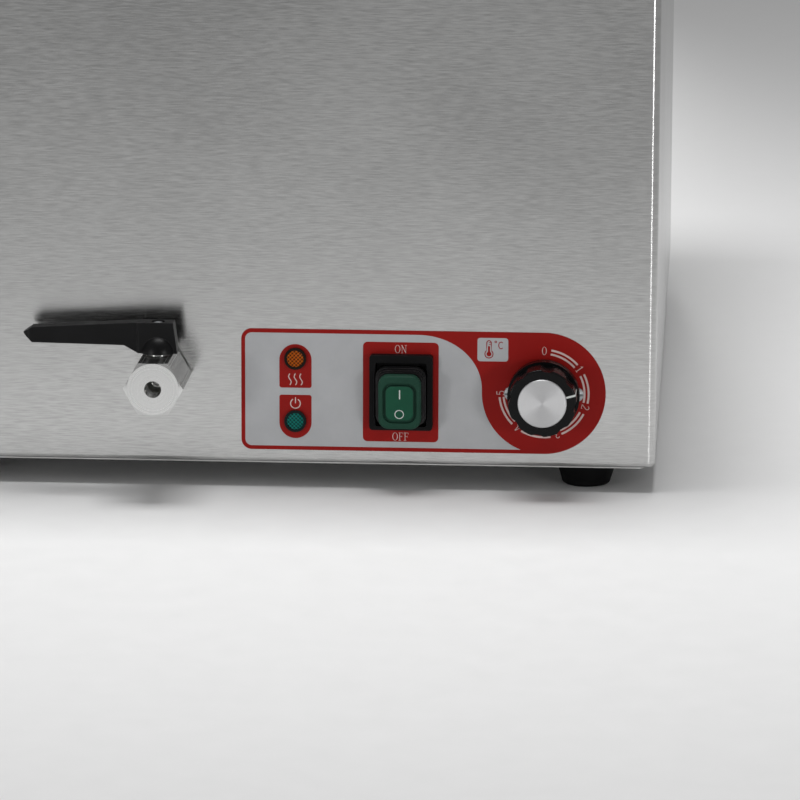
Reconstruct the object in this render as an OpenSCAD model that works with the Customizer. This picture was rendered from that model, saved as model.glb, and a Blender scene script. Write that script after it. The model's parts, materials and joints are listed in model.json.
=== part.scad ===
// Bain marie food warmer: a folded steel cabinet round a wet well, with lift-out pans, lids, a control
// panel and a drain valve on the short front side. Millimetres, +X right, +Y to the rear, +Z up.
// The origin is on the table, in the middle of the overall footprint.

/* [Pans and lids] */
// Length of one pan's rim, side to side
pan_w = 325; // [300:1:340]
// Width of one pan's rim, front to back
pan_l = 176; // [165:1:190]
// Depth of a pan below the top of its rim
pan_depth = 100; // [65:1:120]
// Gap between neighbouring pan rims
pan_gap = 0.6; // [0.4:0.1:1.5]
// Width of a pan's flat rim
pan_rim_w = 12; // [11:0.5:14]
// Height of the turned-down edge of a pan's rim
pan_edge_h = 4; // [3:0.5:6]
// Radius of a pan rim's corners
pan_rim_r = 18; // [12:1:22]
// Radius of a pan wall's corners at the top
pan_wall_r = 36; // [30:1:42]
// Inward lean of a pan wall, top to bottom
pan_lean = 6; // [3:0.5:8]
// Radius between a pan's wall and floor
pan_floor_r = 16; // [10:1:20]
// Thickness of pan and lid sheet
pan_t = 0.8; // [0.6:0.1:1]
// Height of a lid's raised panel
lid_rise = 9; // [6:0.5:14]
// Width of a lid's flat border
lid_border = 20; // [17:0.5:26]
// Inward lean of the raised panel's wall
lid_lean = 5; // [3:0.5:7]
// Diameter of a lid handle's rod
handle_d = 8; // [6:0.5:10]
// Length of a lid handle
handle_l = 110; // [90:1:130]
// Height of a lid handle over the lid
handle_h = 32; // [28:1:40]

/* [Cabinet] */
// Margin from the pan rims to the cabinet's sides
side_margin = 7.5; // [6:0.5:15]
// Margin from the pan rims to the cabinet's front and rear
end_margin = 6; // [5:0.5:15]
// Thickness of the cabinet and tank sheet
sheet_t = 1; // [0.8:0.1:1.2]
// Outside radius of the upright corners
corner_r = 4; // [3.5:0.5:6]
// Outside radius of the folds along the top and bottom edges
bend_r = 2; // [1.5:0.25:3]
// Width of the flange turned in along the bottom
bottom_flange_w = 12; // [11:0.5:14]
// Height of the room for the electrics under the tank
base_room = 65; // [62:1:80]
// Margin from the cabinet's side to the base plate
base_margin = 4; // [3.5:0.5:4.5]
// Height of the rubber feet
foot_h = 10; // [9:0.5:14]
// Diameter of a foot at its top
foot_d = 26.4; // [24:0.2:29]
// Distance of the feet from the cabinet's sides
foot_in_x = 30; // [26:1:40]
// Distance of the feet from the front and rear
foot_in_y = 20; // [17:0.5:26]

/* [Tank] */
// Depth of the tank below its rim
tank_depth = 150; // [145:1:170]
// How far the pan rims overlap the tank's edge
tank_lap = 10; // [8:0.5:11]
// Radius of the tank's corners
tank_r = 16; // [15:1:22]
// Radius between the tank's wall and floor
tank_floor_r = 6; // [4:0.5:6.5]
// Gap from the tank's wall to the cabinet's top opening
tank_gap = 2; // [1:0.25:3]
// Step from the cabinet's edge in to the tank's rim
tank_step = 3; // [2.5:0.25:4]
// Diameter of the heating element's tube
element_d = 8.5; // [6.5:0.5:10]
// Height of the heating element over the tank's floor
element_up = 16; // [15:0.5:22]
// Distance between the element's two fittings
element_pitch = 44; // [40:1:50]

/* [Control panel] */
// Distance of the dial's centre from the cabinet's right side
dial_in = 48; // [44:0.5:60]
// Height of the dial's centre over the cabinet's bottom edge
dial_up = 32.2; // [31:0.1:34]
// Length of the panel label left of the dial
label_l = 130.4; // [126:0.1:140]
// Half height of the panel label, and the radius of its right end
label_r = 26.5; // [25.5:0.1:28]
// Radius of the label's left corners
label_corner = 4.5; // [3:0.5:6]
// Thickness of the label film
label_t = 0.4; // [0.2:0.1:0.6]
// Distance of the switch left of the dial
switch_left = 61.3; // [59:0.1:64]
// Distance of the lamps left of the dial
lamp_left = 107; // [104:0.5:110]
// Distance between the two lamps
lamp_pitch = 27.4; // [25:0.1:29]
// Diameter of a lamp's rim
lamp_rim_d = 9.5; // [9.2:0.1:11]
// Diameter of a lamp's lens
lamp_lens_d = 7.2; // [6.4:0.1:7.6]

/* [Knob] */
// Widest diameter of the knob
knob_d = 31; // [30:0.5:34]
// Diameter of the knob's front
knob_front_d = 29.2; // [27:0.2:30]
// Reach of the knob's front from the panel
knob_reach = 21.8; // [19:0.1:25]
// Diameter of the metal cap
cap_d = 20.8; // [18:0.2:22]
// Number of flutes round the knob
flutes = 8; // [6:1:10]
// Pointer's angle past the zero mark, clockwise
dial_rest = 75; // [0:1:270]
// Diameter of the thermostat's shaft
shaft_d = 6; // [5:0.1:6.5]

/* [Switch] */
// Width of the switch's frame
bezel_w = 27.2; // [26:0.1:28]
// Height of the switch's frame
bezel_h = 32.8; // [32:0.1:34]
// Reach of the switch's frame from the label
bezel_t = 4; // [3.5:0.1:5]
// Width of the rocker's cap
rocker_w = 18.3; // [17.5:0.1:19.5]
// Height of the rocker's cap
rocker_h = 24; // [23.5:0.1:25]
// Reach of the rocker's cap from the panel
rocker_reach = 14; // [13:0.1:16]
// Tilt of the rocker to each side
rocker_tilt = 7; // [5:0.5:8]
// Drop of the rocker below the middle of its frame
rocker_drop = 0.8; // [0:0.1:1]

/* [Drain valve] */
// Distance of the valve left of the dial
valve_left = 164.4; // [156:0.2:176]
// Height of the valve over the dial's centre
valve_up = 6.9; // [4:0.1:10]
// Thickness of the washer between the valve and the cabinet
washer_t = 2; // [1.5:0.25:3]
// Length of the valve's hexagon body
hex_l = 37; // [35:0.5:44]
// Width of the hexagon across its flats
hex_af = 22.2; // [21:0.2:25]
// Diameter of the waterway
waterway_d = 9; // [7:0.5:9.5]
// Diameter of the outlet's socket
outlet_d = 7.2; // [6:0.2:8.6]
// Depth of the outlet's socket
outlet_l = 11; // [7:0.5:12]
// Diameter of the valve's ball
ball_d = 14.4; // [13.6:0.2:15]
// Diameter of the valve's stem
stem_d = 5; // [4.5:0.1:5.5]
// Distance of the stem from the hexagon's back
stem_in = 14; // [13:0.5:15]
// Length of the lever from its stem
lever_l = 58; // [45:1:75]
// Height of the lever's hub
lever_h = 13.3; // [12:0.1:16]

/* [Cable entry] */
// Reach of the cable gland from the rear
gland_reach = 22; // [20:0.5:30]
// Width of the gland's hexagon across its flats
gland_af = 24; // [23:0.5:28]
// Diameter of the gland's opening
gland_bore_d = 8; // [6:0.5:9]
// Distance of the gland left of the cabinet's middle
gland_left = 100; // [60:1:120]
// Height of the gland over the cabinet's bottom edge
gland_up = 24; // [18:1:30]

/* [Hidden] */
$fn = 64;
// Clearance of a turning fit, of a loose fit and of a part slid past another
run_c = 0.05;
loose_c = 0.15;
slide_c = 0.4;
// A cut's overshoot past the face that it opens
over = 1;

pan_count = 3;
body_w = pan_w + 2 * side_margin;
body_d = pan_count * pan_l + 2 * end_margin;
body_h = base_room + tank_depth;
tank_w = pan_w - 2 * tank_lap;
tank_l = pan_count * pan_l - 2 * tank_lap;
valve_reach = washer_t + hex_l;
mid_y = (valve_reach - gland_reach) / 2;
front_y = mid_y - body_d / 2;
rear_y = mid_y + body_d / 2;
base_z = foot_h + sheet_t;
top_z = base_z + body_h;
tank_rim_z = top_z + sheet_t;
tank_floor_z = tank_rim_z - tank_depth;
tank_under_z = tank_floor_z - sheet_t;
pan_top_z = tank_rim_z + pan_edge_h;
lid_top_z = pan_top_z + lid_rise;

dial_x = body_w / 2 - dial_in;
dial_z = base_z + dial_up;
switch_x = dial_x - switch_left;
lamp_x = dial_x - lamp_left;
valve_x = dial_x - valve_left;
valve_z = dial_z + valve_up;
gland_z = base_z + gland_up;

// Feet, base plate and their screws
foot_screw_d = 4;
foot_screw_head_d = 8;
foot_screw_head_h = 2.5;
foot_screw_spare = 6;
foot_nut_af = 7;
foot_nut_t = 3.2;
foot_points = [for (x = [-1, 1], y = [-1, 1])
    [x * (body_w / 2 - foot_in_x), mid_y + y * (body_d / 2 - foot_in_y)]];
base_screw_d = 3.4;
base_screw_l = 7;
base_screw_head_d = 6.5;
base_screw_head_h = 2;
base_screw_end = 70;
row_x = body_w / 5;
base_screw_in = (base_margin + bottom_flange_w) / 2;
base_screw_points = concat(
    [for (x = [-1, 1], y = [-1, 0, 1])
        [x * (body_w / 2 - base_screw_in), mid_y + y * (body_d / 2 - base_screw_end)]],
    [for (x = [-1, 1]) [x * row_x, rear_y - base_screw_in]]);

// Tank drain and valve
drain_back = 52;
drain_y = front_y + drain_back;
drain_bend = 16;
drain_wall = 1.5;
drain_pipe_d = waterway_d + 5;
drain_collar_d = drain_pipe_d + 10;
drain_collar_t = 3;
nipple_d = 16;
nipple_in = 22;
nipple_socket = 12;
nipple_nut_t = 5;
washer_d = nipple_d + 3;
ball_at = washer_t + stem_in;
seat_start = 3;
seat_l = 9;
bonnet_d = 10;
bonnet_rise = 0.3;
bonnet_up = hex_af / 2 + bonnet_rise;
lever_gap = 0.4;
lever_z = bonnet_up + lever_gap;
lever_cover = 4;
lever_screw_d = 3;
lever_screw_head_d = 5;
lever_screw_head_h = 2;

// Element and feeler
element_back = 80;
element_y = front_y + element_back;
element_z = tank_floor_z + element_up;
element_thread_d = 10;
element_thread_l = 16;
element_collar_d = element_thread_d + 5;
element_collar_t = 3;
element_tail_d = 4;
element_tail_l = 26;
element_tail_z = tank_under_z - element_tail_l;
element_nut_af = 14;
element_nut_t = 6;
seal_t = 2;
element_bend = 0.7 * (element_up - seal_t);
bulb_d = 6.5;
bulb_l = 90;
bulb_start = 20;
capillary_d = 2;
capillary_bend = 7;
sensor_left = 52;
sensor_back = 62;
sensor_up = 9;
sensor_x = dial_x - sensor_left;
sensor_y = front_y + sensor_back;
sensor_z = tank_floor_z + sensor_up;
sensor_gland_d = 9;
sensor_nut_af = 12;
sensor_nut_t = 7;

// Thermostat and knob
screw_pitch = 28;
screw_d = 4;
screw_l = 6;
screw_head_d = 6.1;
screw_head_h = 2.4;
thermostat_w = 38;
thermostat_h = 34;
thermostat_l = 22;
thermostat_plate_t = 1.5;
thermostat_plate_z = -sheet_t - thermostat_plate_t;
thermostat_blade_x = 10;
thermostat_blade_y = 8;
bush_d = 9;
bush_out = 2;
shaft_in = 5;
knob_gap = 0.6;
knob_back = label_t + screw_head_h + knob_gap;
knob_cover = 4;
shaft_flat = shaft_d / 4;
cap_t = 1.5;
cap_proud = 0.5;

// Switch and lamps
cutout_w = 22;
cutout_h = 28;
cutout_r = 1;
pivot_d = 3;
housing_w = cutout_w - 2 * slide_c;
housing_h = cutout_h - 2 * slide_c;
housing_wall = 1.6;
housing_back = 28;
boot_w = rocker_w + 3.3;
boot_h = rocker_h + 2;
boot_start = 3;
boot_r = 4.5;
boot_wall = 1.5;
rocker_cap_t = 4.5;
rocker_cap_z = rocker_reach - rocker_cap_t;
blade_l = 8;
blade = [6.3, 0.8, blade_l];
switch_blade_x = 5;
switch_blade_y = 8;
lamp_back = 22;
lamp_body_d = 8;
lamp_flange_d = lamp_body_d + 4;
lamp_flange_t = 3;
lamp_seat = 6;
lamp_lens_l = 8.2;
lamp_rim_t = 1.5;

// Cable entry, terminals and wiring
gland_thread_d = gland_af - 4;
gland_thread_l = 8;
gland_base_t = 6;
gland_nose_l = 6;
gland_nose_d = gland_bore_d + 6;
gland_nut_t = 5;
block_in = 90;
block_y = rear_y - block_in;
block_size = [44, 18, 12];
block_ways = 4;
wire_z = base_z + block_size[2] / 2;
wire_d = 2.6;
wire_bend = 6;

// Shared shapes

// Frame on the cabinet's front: x right, y up, z out towards the user
module on_front(x, z) {
    translate([x, front_y, z]) rotate([90, 0, 0]) children();
}

// Frame on the cabinet's rear: z out to the rear
module on_rear(x, z) {
    translate([x, rear_y, z]) rotate([90, 0, 180]) children();
}

// Flat rectangle with round corners, about its middle
module rounded_rect(w, h, r) {
    square([w - 2 * r, h], center = true);
    square([w, h - 2 * r], center = true);
    for (x = [-1, 1], y = [-1, 1])
        translate([x * (w / 2 - r), y * (h / 2 - r)]) circle(r);
}

// Plate with round corners, from z = 0 up
module plate(w, h, r, t) {
    linear_extrude(t) rounded_rect(w, h, r);
}

module hexagon(af, t) {
    cylinder(d = af / cos(30), h = t, $fn = 6);
}

module hex_nut(af, bore_d, t) {
    difference() {
        hexagon(af, t);
        translate([0, 0, -over]) cylinder(d = bore_d, h = t + 2 * over);
    }
}

module ring(d_out, d_in, t) {
    difference() {
        cylinder(d = d_out, h = t);
        translate([0, 0, -over]) cylinder(d = d_in, h = t + 2 * over);
    }
}

// Screw with a domed, slotted head: the head's seat is z = 0 and the shank runs down
module screw(d, l, head_d, head_h) {
    slot_w = 1;
    difference() {
        union() {
            translate([0, 0, -l]) cylinder(d = d, h = l);
            rotate_extrude() intersection() {
                square([head_d / 2, head_h]);
                translate([0, head_h - head_d]) circle(head_d);
            }
        }
        translate([-head_d / 2, -slot_w / 2, head_h / 2]) cube([head_d, slot_w, head_h]);
    }
}

// Profile carried round a rectangle with round corners: it is drawn at a corner's centre, x outward
module swept(w, d, r) {
    for (side = [0, 1, 2, 3]) {
        reach = (side % 2 == 0 ? w : d) / 2 - r;
        run = (side % 2 == 0 ? d : w) - 2 * r;
        rotate([0, 0, side * 90]) translate([reach, 0, 0]) rotate([90, 0, 0])
            linear_extrude(run, center = true) children();
    }
    for (x = [0, 1], y = [0, 1])
        mirror([x, 0, 0]) mirror([0, y, 0]) translate([w / 2 - r, d / 2 - r, 0])
            rotate_extrude(angle = 90) children();
}

module quarter_disc(r) {
    intersection() {
        circle(r);
        square(r);
    }
}

// Strip from the axis out to x, with its two outer corners rounded
module edge_profile(x, h, r) {
    square([x - r, h]);
    translate([0, r]) square([x, h - 2 * r]);
    translate([x - r, h - r]) quarter_disc(r);
    translate([x - r, r]) mirror([0, 1]) quarter_disc(r);
}

// Closed box with round upright corners and rounded top and bottom edges
module soft_box(w, d, h, upright_r, edge_r) {
    swept(w, d, upright_r) edge_profile(upright_r, h, edge_r);
    translate([0, 0, h / 2]) cube([w - 2 * upright_r, d - 2 * upright_r, h], center = true);
}

// Filled section of a pressed dish, from the corner's centre out to its leaning wall
module dish_section(x_top, lean, depth, r) {
    tilt = atan(lean / depth);
    centre = [x_top - lean * (depth - r) / depth - r / cos(tilt), r - depth];
    touch = centre + r * [cos(tilt), -sin(tilt)];
    polygon([[0, 0], [x_top, 0], touch, centre, [centre[0], -depth], [0, -depth]]);
    intersection() {
        translate(centre) circle(r);
        translate([0, -depth - r]) square([x_top + r, 3 * r]);
    }
}

// Pressed dish of even sheet, open at z = 0 and hanging down
module dish(w, d, corner, lean, depth, r, t) {
    swept(w, d, corner) difference() {
        dish_section(corner, lean, depth, r);
        dish_section(corner - t, lean, depth - t, r - t);
    }
    translate([0, 0, t / 2 - depth]) cube([w - 2 * corner, d - 2 * corner, t], center = true);
}

function unit(v) = v / norm(v);

// Round bar along square turns, with bends of one radius
module bar(points, d, bend) {
    last = len(points) - 1;
    for (i = [0:last - 1]) {
        way = unit(points[i + 1] - points[i]);
        side = [way[1], way[2], way[0]];
        up = cross(way, side);
        start = points[i] + (i == 0 ? 0 : bend) * way;
        end = points[i + 1] - (i + 1 == last ? 0 : bend) * way;
        multmatrix([for (k = [0:2]) [side[k], up[k], way[k], start[k]]])
            cylinder(d = d, h = norm(end - start));
    }
    for (i = [1:1:last - 1]) {
        into = unit(points[i] - points[i - 1]);
        out = unit(points[i + 1] - points[i]);
        normal = cross(-out, into);
        centre = points[i] + bend * (out - into);
        multmatrix([for (k = [0:2]) [-out[k], into[k], normal[k], centre[k]]])
            rotate_extrude(angle = 90) translate([bend, 0]) circle(d = d);
    }
}

// Cabinet

module outer_shell() {
    color("silver") difference() {
        translate([0, mid_y, base_z]) soft_box(body_w, body_d, body_h, corner_r, bend_r);
        translate([0, mid_y, base_z + sheet_t])
            soft_box(body_w - 2 * sheet_t, body_d - 2 * sheet_t, body_h - 2 * sheet_t,
                corner_r - sheet_t, bend_r - sheet_t);
        translate([0, mid_y, top_z - sheet_t - over])
            plate(tank_w + 2 * (sheet_t + tank_gap), tank_l + 2 * (sheet_t + tank_gap),
                tank_r + sheet_t + tank_gap, sheet_t + 2 * over);
        translate([0, mid_y, base_z - over])
            plate(body_w - 2 * bottom_flange_w, body_d - 2 * bottom_flange_w, corner_r,
                sheet_t + 2 * over);
        for (p = base_screw_points)
            translate([p[0], p[1], base_z - over])
                cylinder(d = base_screw_d + 2 * loose_c, h = sheet_t + 2 * over);
        panel_holes(-sheet_t - over, sheet_t + 2 * over);
        on_front(valve_x, valve_z) translate([0, 0, -sheet_t - over])
            cylinder(d = nipple_d + 2 * loose_c, h = sheet_t + 2 * over);
        on_rear(-gland_left, gland_z) translate([0, 0, -sheet_t - over])
            cylinder(d = gland_thread_d + 2 * loose_c, h = sheet_t + 2 * over);
    }
}

// Holes through the front sheet and its label
module panel_holes(start, depth) {
    on_front(dial_x, dial_z) translate([0, 0, start]) {
        cylinder(d = bush_d + 2 * loose_c, h = depth);
        for (x = [-1, 1])
            translate([x * screw_pitch / 2, 0, 0]) cylinder(d = screw_d + 2 * loose_c, h = depth);
    }
    on_front(switch_x, dial_z - rocker_drop) translate([0, 0, start])
        plate(cutout_w, cutout_h, cutout_r, depth);
    for (y = [-1, 1])
        on_front(lamp_x, dial_z + y * lamp_pitch / 2) translate([0, 0, start])
            cylinder(d = lamp_body_d + 2 * loose_c, h = depth);
}

module base_plate() {
    vent_w = 5;
    vent_l = 46;
    vent_r = 2.4;
    vent_step = 13;
    vents = 9;
    color("gainsboro") difference() {
        translate([0, mid_y, foot_h])
            plate(body_w - 2 * base_margin, body_d - 2 * base_margin, corner_r, sheet_t);
        for (p = base_screw_points)
            translate([p[0], p[1], foot_h - over])
                cylinder(d = base_screw_d + 2 * loose_c, h = sheet_t + 2 * over);
        for (p = foot_points)
            translate([p[0], p[1], foot_h - over])
                cylinder(d = foot_screw_d + 2 * loose_c, h = sheet_t + 2 * over);
        for (side = [-1, 1], i = [0:vents - 1])
            translate([side * row_x, mid_y + (i - (vents - 1) / 2) * vent_step, foot_h - over])
                plate(vent_l, vent_w, vent_r, sheet_t + 2 * over);
    }
}

module base_screws() {
    color("lightgray") for (p = base_screw_points)
        translate([p[0], p[1], foot_h]) mirror([0, 0, 1])
            screw(base_screw_d, base_screw_l, base_screw_head_d, base_screw_head_h);
}

module foot(i) {
    edge_r = 2;
    taper = 2.6;
    head_room_d = 10;
    head_room = foot_h / 2;
    foot_r = foot_d / 2;
    color("dimgray") translate([foot_points[i][0], foot_points[i][1], 0]) rotate_extrude()
        difference() {
            union() {
                square([foot_r - taper - edge_r, foot_h]);
                translate([foot_r - taper - edge_r, edge_r]) mirror([0, 1]) quarter_disc(edge_r);
                polygon([[0, edge_r], [foot_r - taper, edge_r], [foot_r, foot_h], [0, foot_h]]);
            }
            translate([-over, -over]) square([head_room_d / 2 + over, head_room + over]);
            translate([-over, -over])
                square([foot_screw_d / 2 + loose_c + over, foot_h + 2 * over]);
        }
}

module foot_front_left() { foot(0); }
module foot_rear_left() { foot(1); }
module foot_front_right() { foot(2); }
module foot_rear_right() { foot(3); }

module foot_screws() {
    color("lightgray") for (p = foot_points)
        translate([p[0], p[1], foot_h / 2]) mirror([0, 0, 1])
            screw(foot_screw_d, foot_h / 2 + sheet_t + foot_screw_spare, foot_screw_head_d,
                foot_screw_head_h);
}

module foot_nuts() {
    color("lightgray") for (p = foot_points)
        translate([p[0], p[1], base_z]) hex_nut(foot_nut_af, foot_screw_d + 2 * run_c, foot_nut_t);
}

// Tank, element and drain

module water_tank() {
    lean = 2;
    color("lightgray") difference() {
        union() {
            translate([0, mid_y, tank_rim_z])
                dish(tank_w + 2 * sheet_t, tank_l + 2 * sheet_t, tank_r + sheet_t, lean,
                    tank_depth + sheet_t, tank_floor_r + sheet_t, sheet_t);
            translate([0, mid_y, top_z]) linear_extrude(sheet_t) difference() {
                rounded_rect(body_w - 2 * tank_step, body_d - 2 * tank_step, corner_r + tank_step);
                rounded_rect(tank_w + sheet_t, tank_l + sheet_t, tank_r + sheet_t / 2);
            }
        }
        translate([valve_x, drain_y, tank_under_z - over])
            cylinder(d = drain_pipe_d + 2 * loose_c, h = sheet_t + 2 * over);
        for (x = [-1, 1])
            translate([x * element_pitch / 2, element_y, tank_under_z - over])
                cylinder(d = element_thread_d + 2 * loose_c, h = sheet_t + 2 * over);
        translate([sensor_x, sensor_y, tank_under_z - over])
            cylinder(d = sensor_gland_d + 2 * loose_c, h = sheet_t + 2 * over);
    }
}

// The loop runs from one fitting to the rear, turns out, comes forward and crosses to its mirror image
module heating_element() {
    side_in = 45;
    rear_in = 75;
    front_in = 48;
    fit_x = element_pitch / 2;
    outer_x = tank_w / 2 - side_in;
    far_y = rear_y - rear_in;
    near_y = front_y + front_in;
    foot_z = tank_floor_z + seal_t;
    side = [[fit_x, element_y, foot_z], [fit_x, element_y, element_z], [fit_x, far_y, element_z],
        [outer_x, far_y, element_z], [outer_x, near_y, element_z], [0, near_y, element_z]];
    color("dimgray") for (turn = [0, 1]) mirror([turn, 0, 0]) {
        bar(side, element_d, element_bend);
        translate([fit_x, element_y, foot_z]) cylinder(d = element_collar_d, h = element_collar_t);
        translate([fit_x, element_y, tank_under_z - element_thread_l])
            cylinder(d = element_thread_d, h = element_thread_l + sheet_t + seal_t);
        translate([fit_x, element_y, element_tail_z])
            cylinder(d = element_tail_d, h = tank_under_z - element_tail_z);
    }
}

module element_seals() {
    color("firebrick") for (x = [-1, 1])
        translate([x * element_pitch / 2, element_y, tank_floor_z])
            ring(element_collar_d, element_thread_d + 2 * run_c, seal_t);
}

module element_nuts() {
    color("darkgoldenrod") for (x = [-1, 1])
        translate([x * element_pitch / 2, element_y, tank_under_z - element_nut_t])
            hex_nut(element_nut_af, element_thread_d + 2 * run_c, element_nut_t);
}

// Pipe from the tank's floor down, round and forward into the nipple
module drain_elbow() {
    pipe_end = front_y + nipple_in - nipple_socket + loose_c;
    route = [[valve_x, drain_y, tank_floor_z], [valve_x, drain_y, valve_z],
        [valve_x, pipe_end, valve_z]];
    bore = [route[0] + [0, 0, over], route[1], route[2] - [0, over, 0]];
    color("silver") difference() {
        union() {
            bar(route, drain_pipe_d, drain_bend);
            translate([valve_x, drain_y, tank_under_z - drain_collar_t])
                cylinder(d = drain_collar_d, h = drain_collar_t);
        }
        bar(bore, drain_pipe_d - 2 * drain_wall, drain_bend);
    }
}

// Nipple through the front sheet: its inner end takes the pipe, its outer end holds the rear seat
module drain_nipple() {
    color("silver") on_front(valve_x, valve_z) difference() {
        translate([0, 0, -nipple_in]) cylinder(d = nipple_d, h = nipple_in + ball_at - seat_l);
        translate([0, 0, -nipple_in - over])
            cylinder(d = waterway_d, h = nipple_in + ball_at + 2 * over);
        translate([0, 0, -nipple_in - over])
            cylinder(d = drain_pipe_d + 2 * run_c, h = nipple_socket + over);
    }
}

module drain_locknut() {
    color("silver") on_front(valve_x, valve_z) translate([0, 0, -sheet_t - nipple_nut_t])
        hex_nut(hex_af, nipple_d + 2 * run_c, nipple_nut_t);
}

module drain_washer() {
    color("white") on_front(valve_x, valve_z) ring(washer_d, nipple_d + 2 * run_c, washer_t);
}

// Drain valve

module on_valve() {
    on_front(valve_x, valve_z) children();
}

module valve_body() {
    hex_d = hex_af / cos(30);
    chamfer = 1.2;
    color("silver") on_valve() difference() {
        union() {
            intersection() {
                translate([0, 0, washer_t]) hexagon(hex_af, hex_l);
                translate([0, 0, washer_t]) rotate_extrude() polygon([[0, 0], [hex_af / 2, 0],
                    [hex_d / 2, chamfer], [hex_d / 2, hex_l - chamfer], [hex_af / 2, hex_l],
                    [0, hex_l]]);
            }
            translate([0, 0, ball_at]) rotate([-90, 0, 0]) cylinder(d = bonnet_d, h = bonnet_up);
        }
        translate([0, 0, washer_t - over])
            cylinder(d = nipple_d + 2 * run_c, h = stem_in + seat_l + over);
        translate([0, 0, washer_t]) cylinder(d = waterway_d, h = hex_l - outlet_l);
        translate([0, 0, valve_reach - outlet_l - over])
            cylinder(d = outlet_d, h = outlet_l + 2 * over);
        translate([0, 0, ball_at]) rotate([-90, 0, 0])
            cylinder(d = stem_d + 2 * run_c, h = hex_af + over);
    }
}

module valve_seats() {
    color("white") on_valve() for (turn = [0, 1])
        translate([0, 0, ball_at]) mirror([0, 0, turn]) difference() {
            translate([0, 0, seat_start]) cylinder(d = nipple_d, h = seat_l - seat_start);
            cylinder(d = waterway_d, h = seat_l + over);
            sphere(d = ball_d + 2 * run_c);
        }
}

// Closed at rest: the ball's way lies across the waterway
module valve_ball() {
    way_d = waterway_d - 1;
    slot = [3, 2, ball_d];
    color("silver") on_valve() translate([0, 0, ball_at]) difference() {
        rotate([0, 90, 0]) rotate_extrude() difference() {
            circle(d = ball_d);
            translate([-ball_d, -ball_d]) square([ball_d + way_d / 2, 2 * ball_d]);
        }
        translate([0, (ball_d - slot[1]) / 2, 0]) cube(slot, center = true);
    }
}

module valve_stem() {
    tang = [2.8, 2.4, stem_d - 2];
    tang_in = 1.8;
    start = ball_d / 2 + run_c;
    color("silver") on_valve() translate([0, 0, ball_at]) {
        rotate([-90, 0, 0]) translate([0, 0, start])
            cylinder(d = stem_d, h = lever_z + lever_h - lever_cover - start);
        translate([0, (ball_d + tang[1]) / 2 - tang_in, 0]) cube(tang, center = true);
    }
}

// Moulded lever, shut: its arm points to the left
module valve_lever() {
    foot_half = 8.5;
    top_half = 6.75;
    hub_depth = 8;
    hub_r = 1;
    arm_in = 6;
    arm_step = 0.6;
    tip_r = 3.5;
    tip_l = 4;
    dome_r = 8;
    screw_room_d = 6;
    arm_half = hub_depth / 2 - arm_step;
    color("#202020") on_valve() translate([0, lever_z, ball_at]) difference() {
        union() {
            intersection() {
                translate([0, 0, -hub_depth / 2]) linear_extrude(hub_depth) polygon([[foot_half, 0],
                    [top_half, lever_h], [-foot_half, lever_h], [-lever_l + tip_l, lever_h * 0.8],
                    [-lever_l, lever_h * 0.6], [-lever_l + tip_l, lever_h * 0.3],
                    [-foot_half - arm_in, lever_h * 0.25], [-foot_half, 0]]);
                rotate([-90, 0, 0]) linear_extrude(lever_h) {
                    rounded_rect(2 * foot_half + hub_r, hub_depth, hub_r);
                    translate([-lever_l + tip_r, 0]) circle(tip_r);
                    polygon([[-lever_l + tip_r, tip_r], [-lever_l + tip_r, -tip_r],
                        [-foot_half / 2, -arm_half], [-foot_half / 2, arm_half]]);
                }
            }
            rotate([-90, 0, 0]) rotate_extrude() quarter_disc(dome_r);
        }
        rotate([-90, 0, 0]) translate([0, 0, -over])
            cylinder(d = stem_d + 2 * run_c, h = lever_h - lever_cover + over);
        rotate([-90, 0, 0]) cylinder(d = lever_screw_d + 2 * run_c, h = lever_h + over);
        rotate([-90, 0, 0]) translate([0, 0, lever_h - lever_screw_head_h])
            cylinder(d = screw_room_d, h = lever_screw_head_h + over);
    }
}

module lever_screw() {
    seat = lever_h - lever_screw_head_h;
    color("silver") on_valve() translate([0, lever_z + seat, ball_at]) rotate([-90, 0, 0])
        screw(lever_screw_d, lever_cover - lever_screw_head_h, lever_screw_head_d, lever_screw_head_h);
}

// Control panel

module control_label() {
    color("firebrick") difference() {
        on_front(dial_x, dial_z) linear_extrude(label_t) {
            circle(label_r);
            translate([-label_l / 2 + label_corner / 2, 0])
                square([label_l - label_corner, 2 * label_r], center = true);
            translate([-label_l + label_corner, 0])
                square([2 * label_corner, 2 * (label_r - label_corner)], center = true);
            for (y = [-1, 1])
                translate([-label_l + label_corner, y * (label_r - label_corner)]) circle(label_corner);
        }
        panel_holes(-over, label_t + 2 * over);
    }
}

module on_dial() {
    on_front(dial_x, dial_z) children();
}

module thermostat_body() {
    plate_h = 15;
    plate_r = 3;
    body_r = 2;
    hole = 6;
    back = thermostat_plate_z;
    color("ivory") on_dial() difference() {
        union() {
            translate([0, 0, back]) plate(thermostat_w, plate_h, plate_r, thermostat_plate_t);
            translate([0, 0, back - thermostat_l])
                plate(thermostat_w, thermostat_h, body_r, thermostat_l);
            translate([0, 0, back]) cylinder(d = bush_d, h = bush_out - back);
            for (x = [-1, 1], y = [-1, 1])
                translate([x * thermostat_blade_x, y * thermostat_blade_y,
                    back - thermostat_l - blade_l / 2]) cube(blade, center = true);
        }
        translate([0, 0, back - hole]) cylinder(d = shaft_d + 2 * run_c, h = hole - back + bush_out + over);
        for (x = [-1, 1])
            translate([x * screw_pitch / 2, 0, back - hole])
                cylinder(d = screw_d + 2 * run_c, h = hole + thermostat_plate_t + over);
    }
}

module thermostat_screws() {
    color("gainsboro") on_dial() for (x = [-1, 1])
        translate([x * screw_pitch / 2, 0, label_t]) screw(screw_d, screw_l, screw_head_d, screw_head_h);
}

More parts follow.
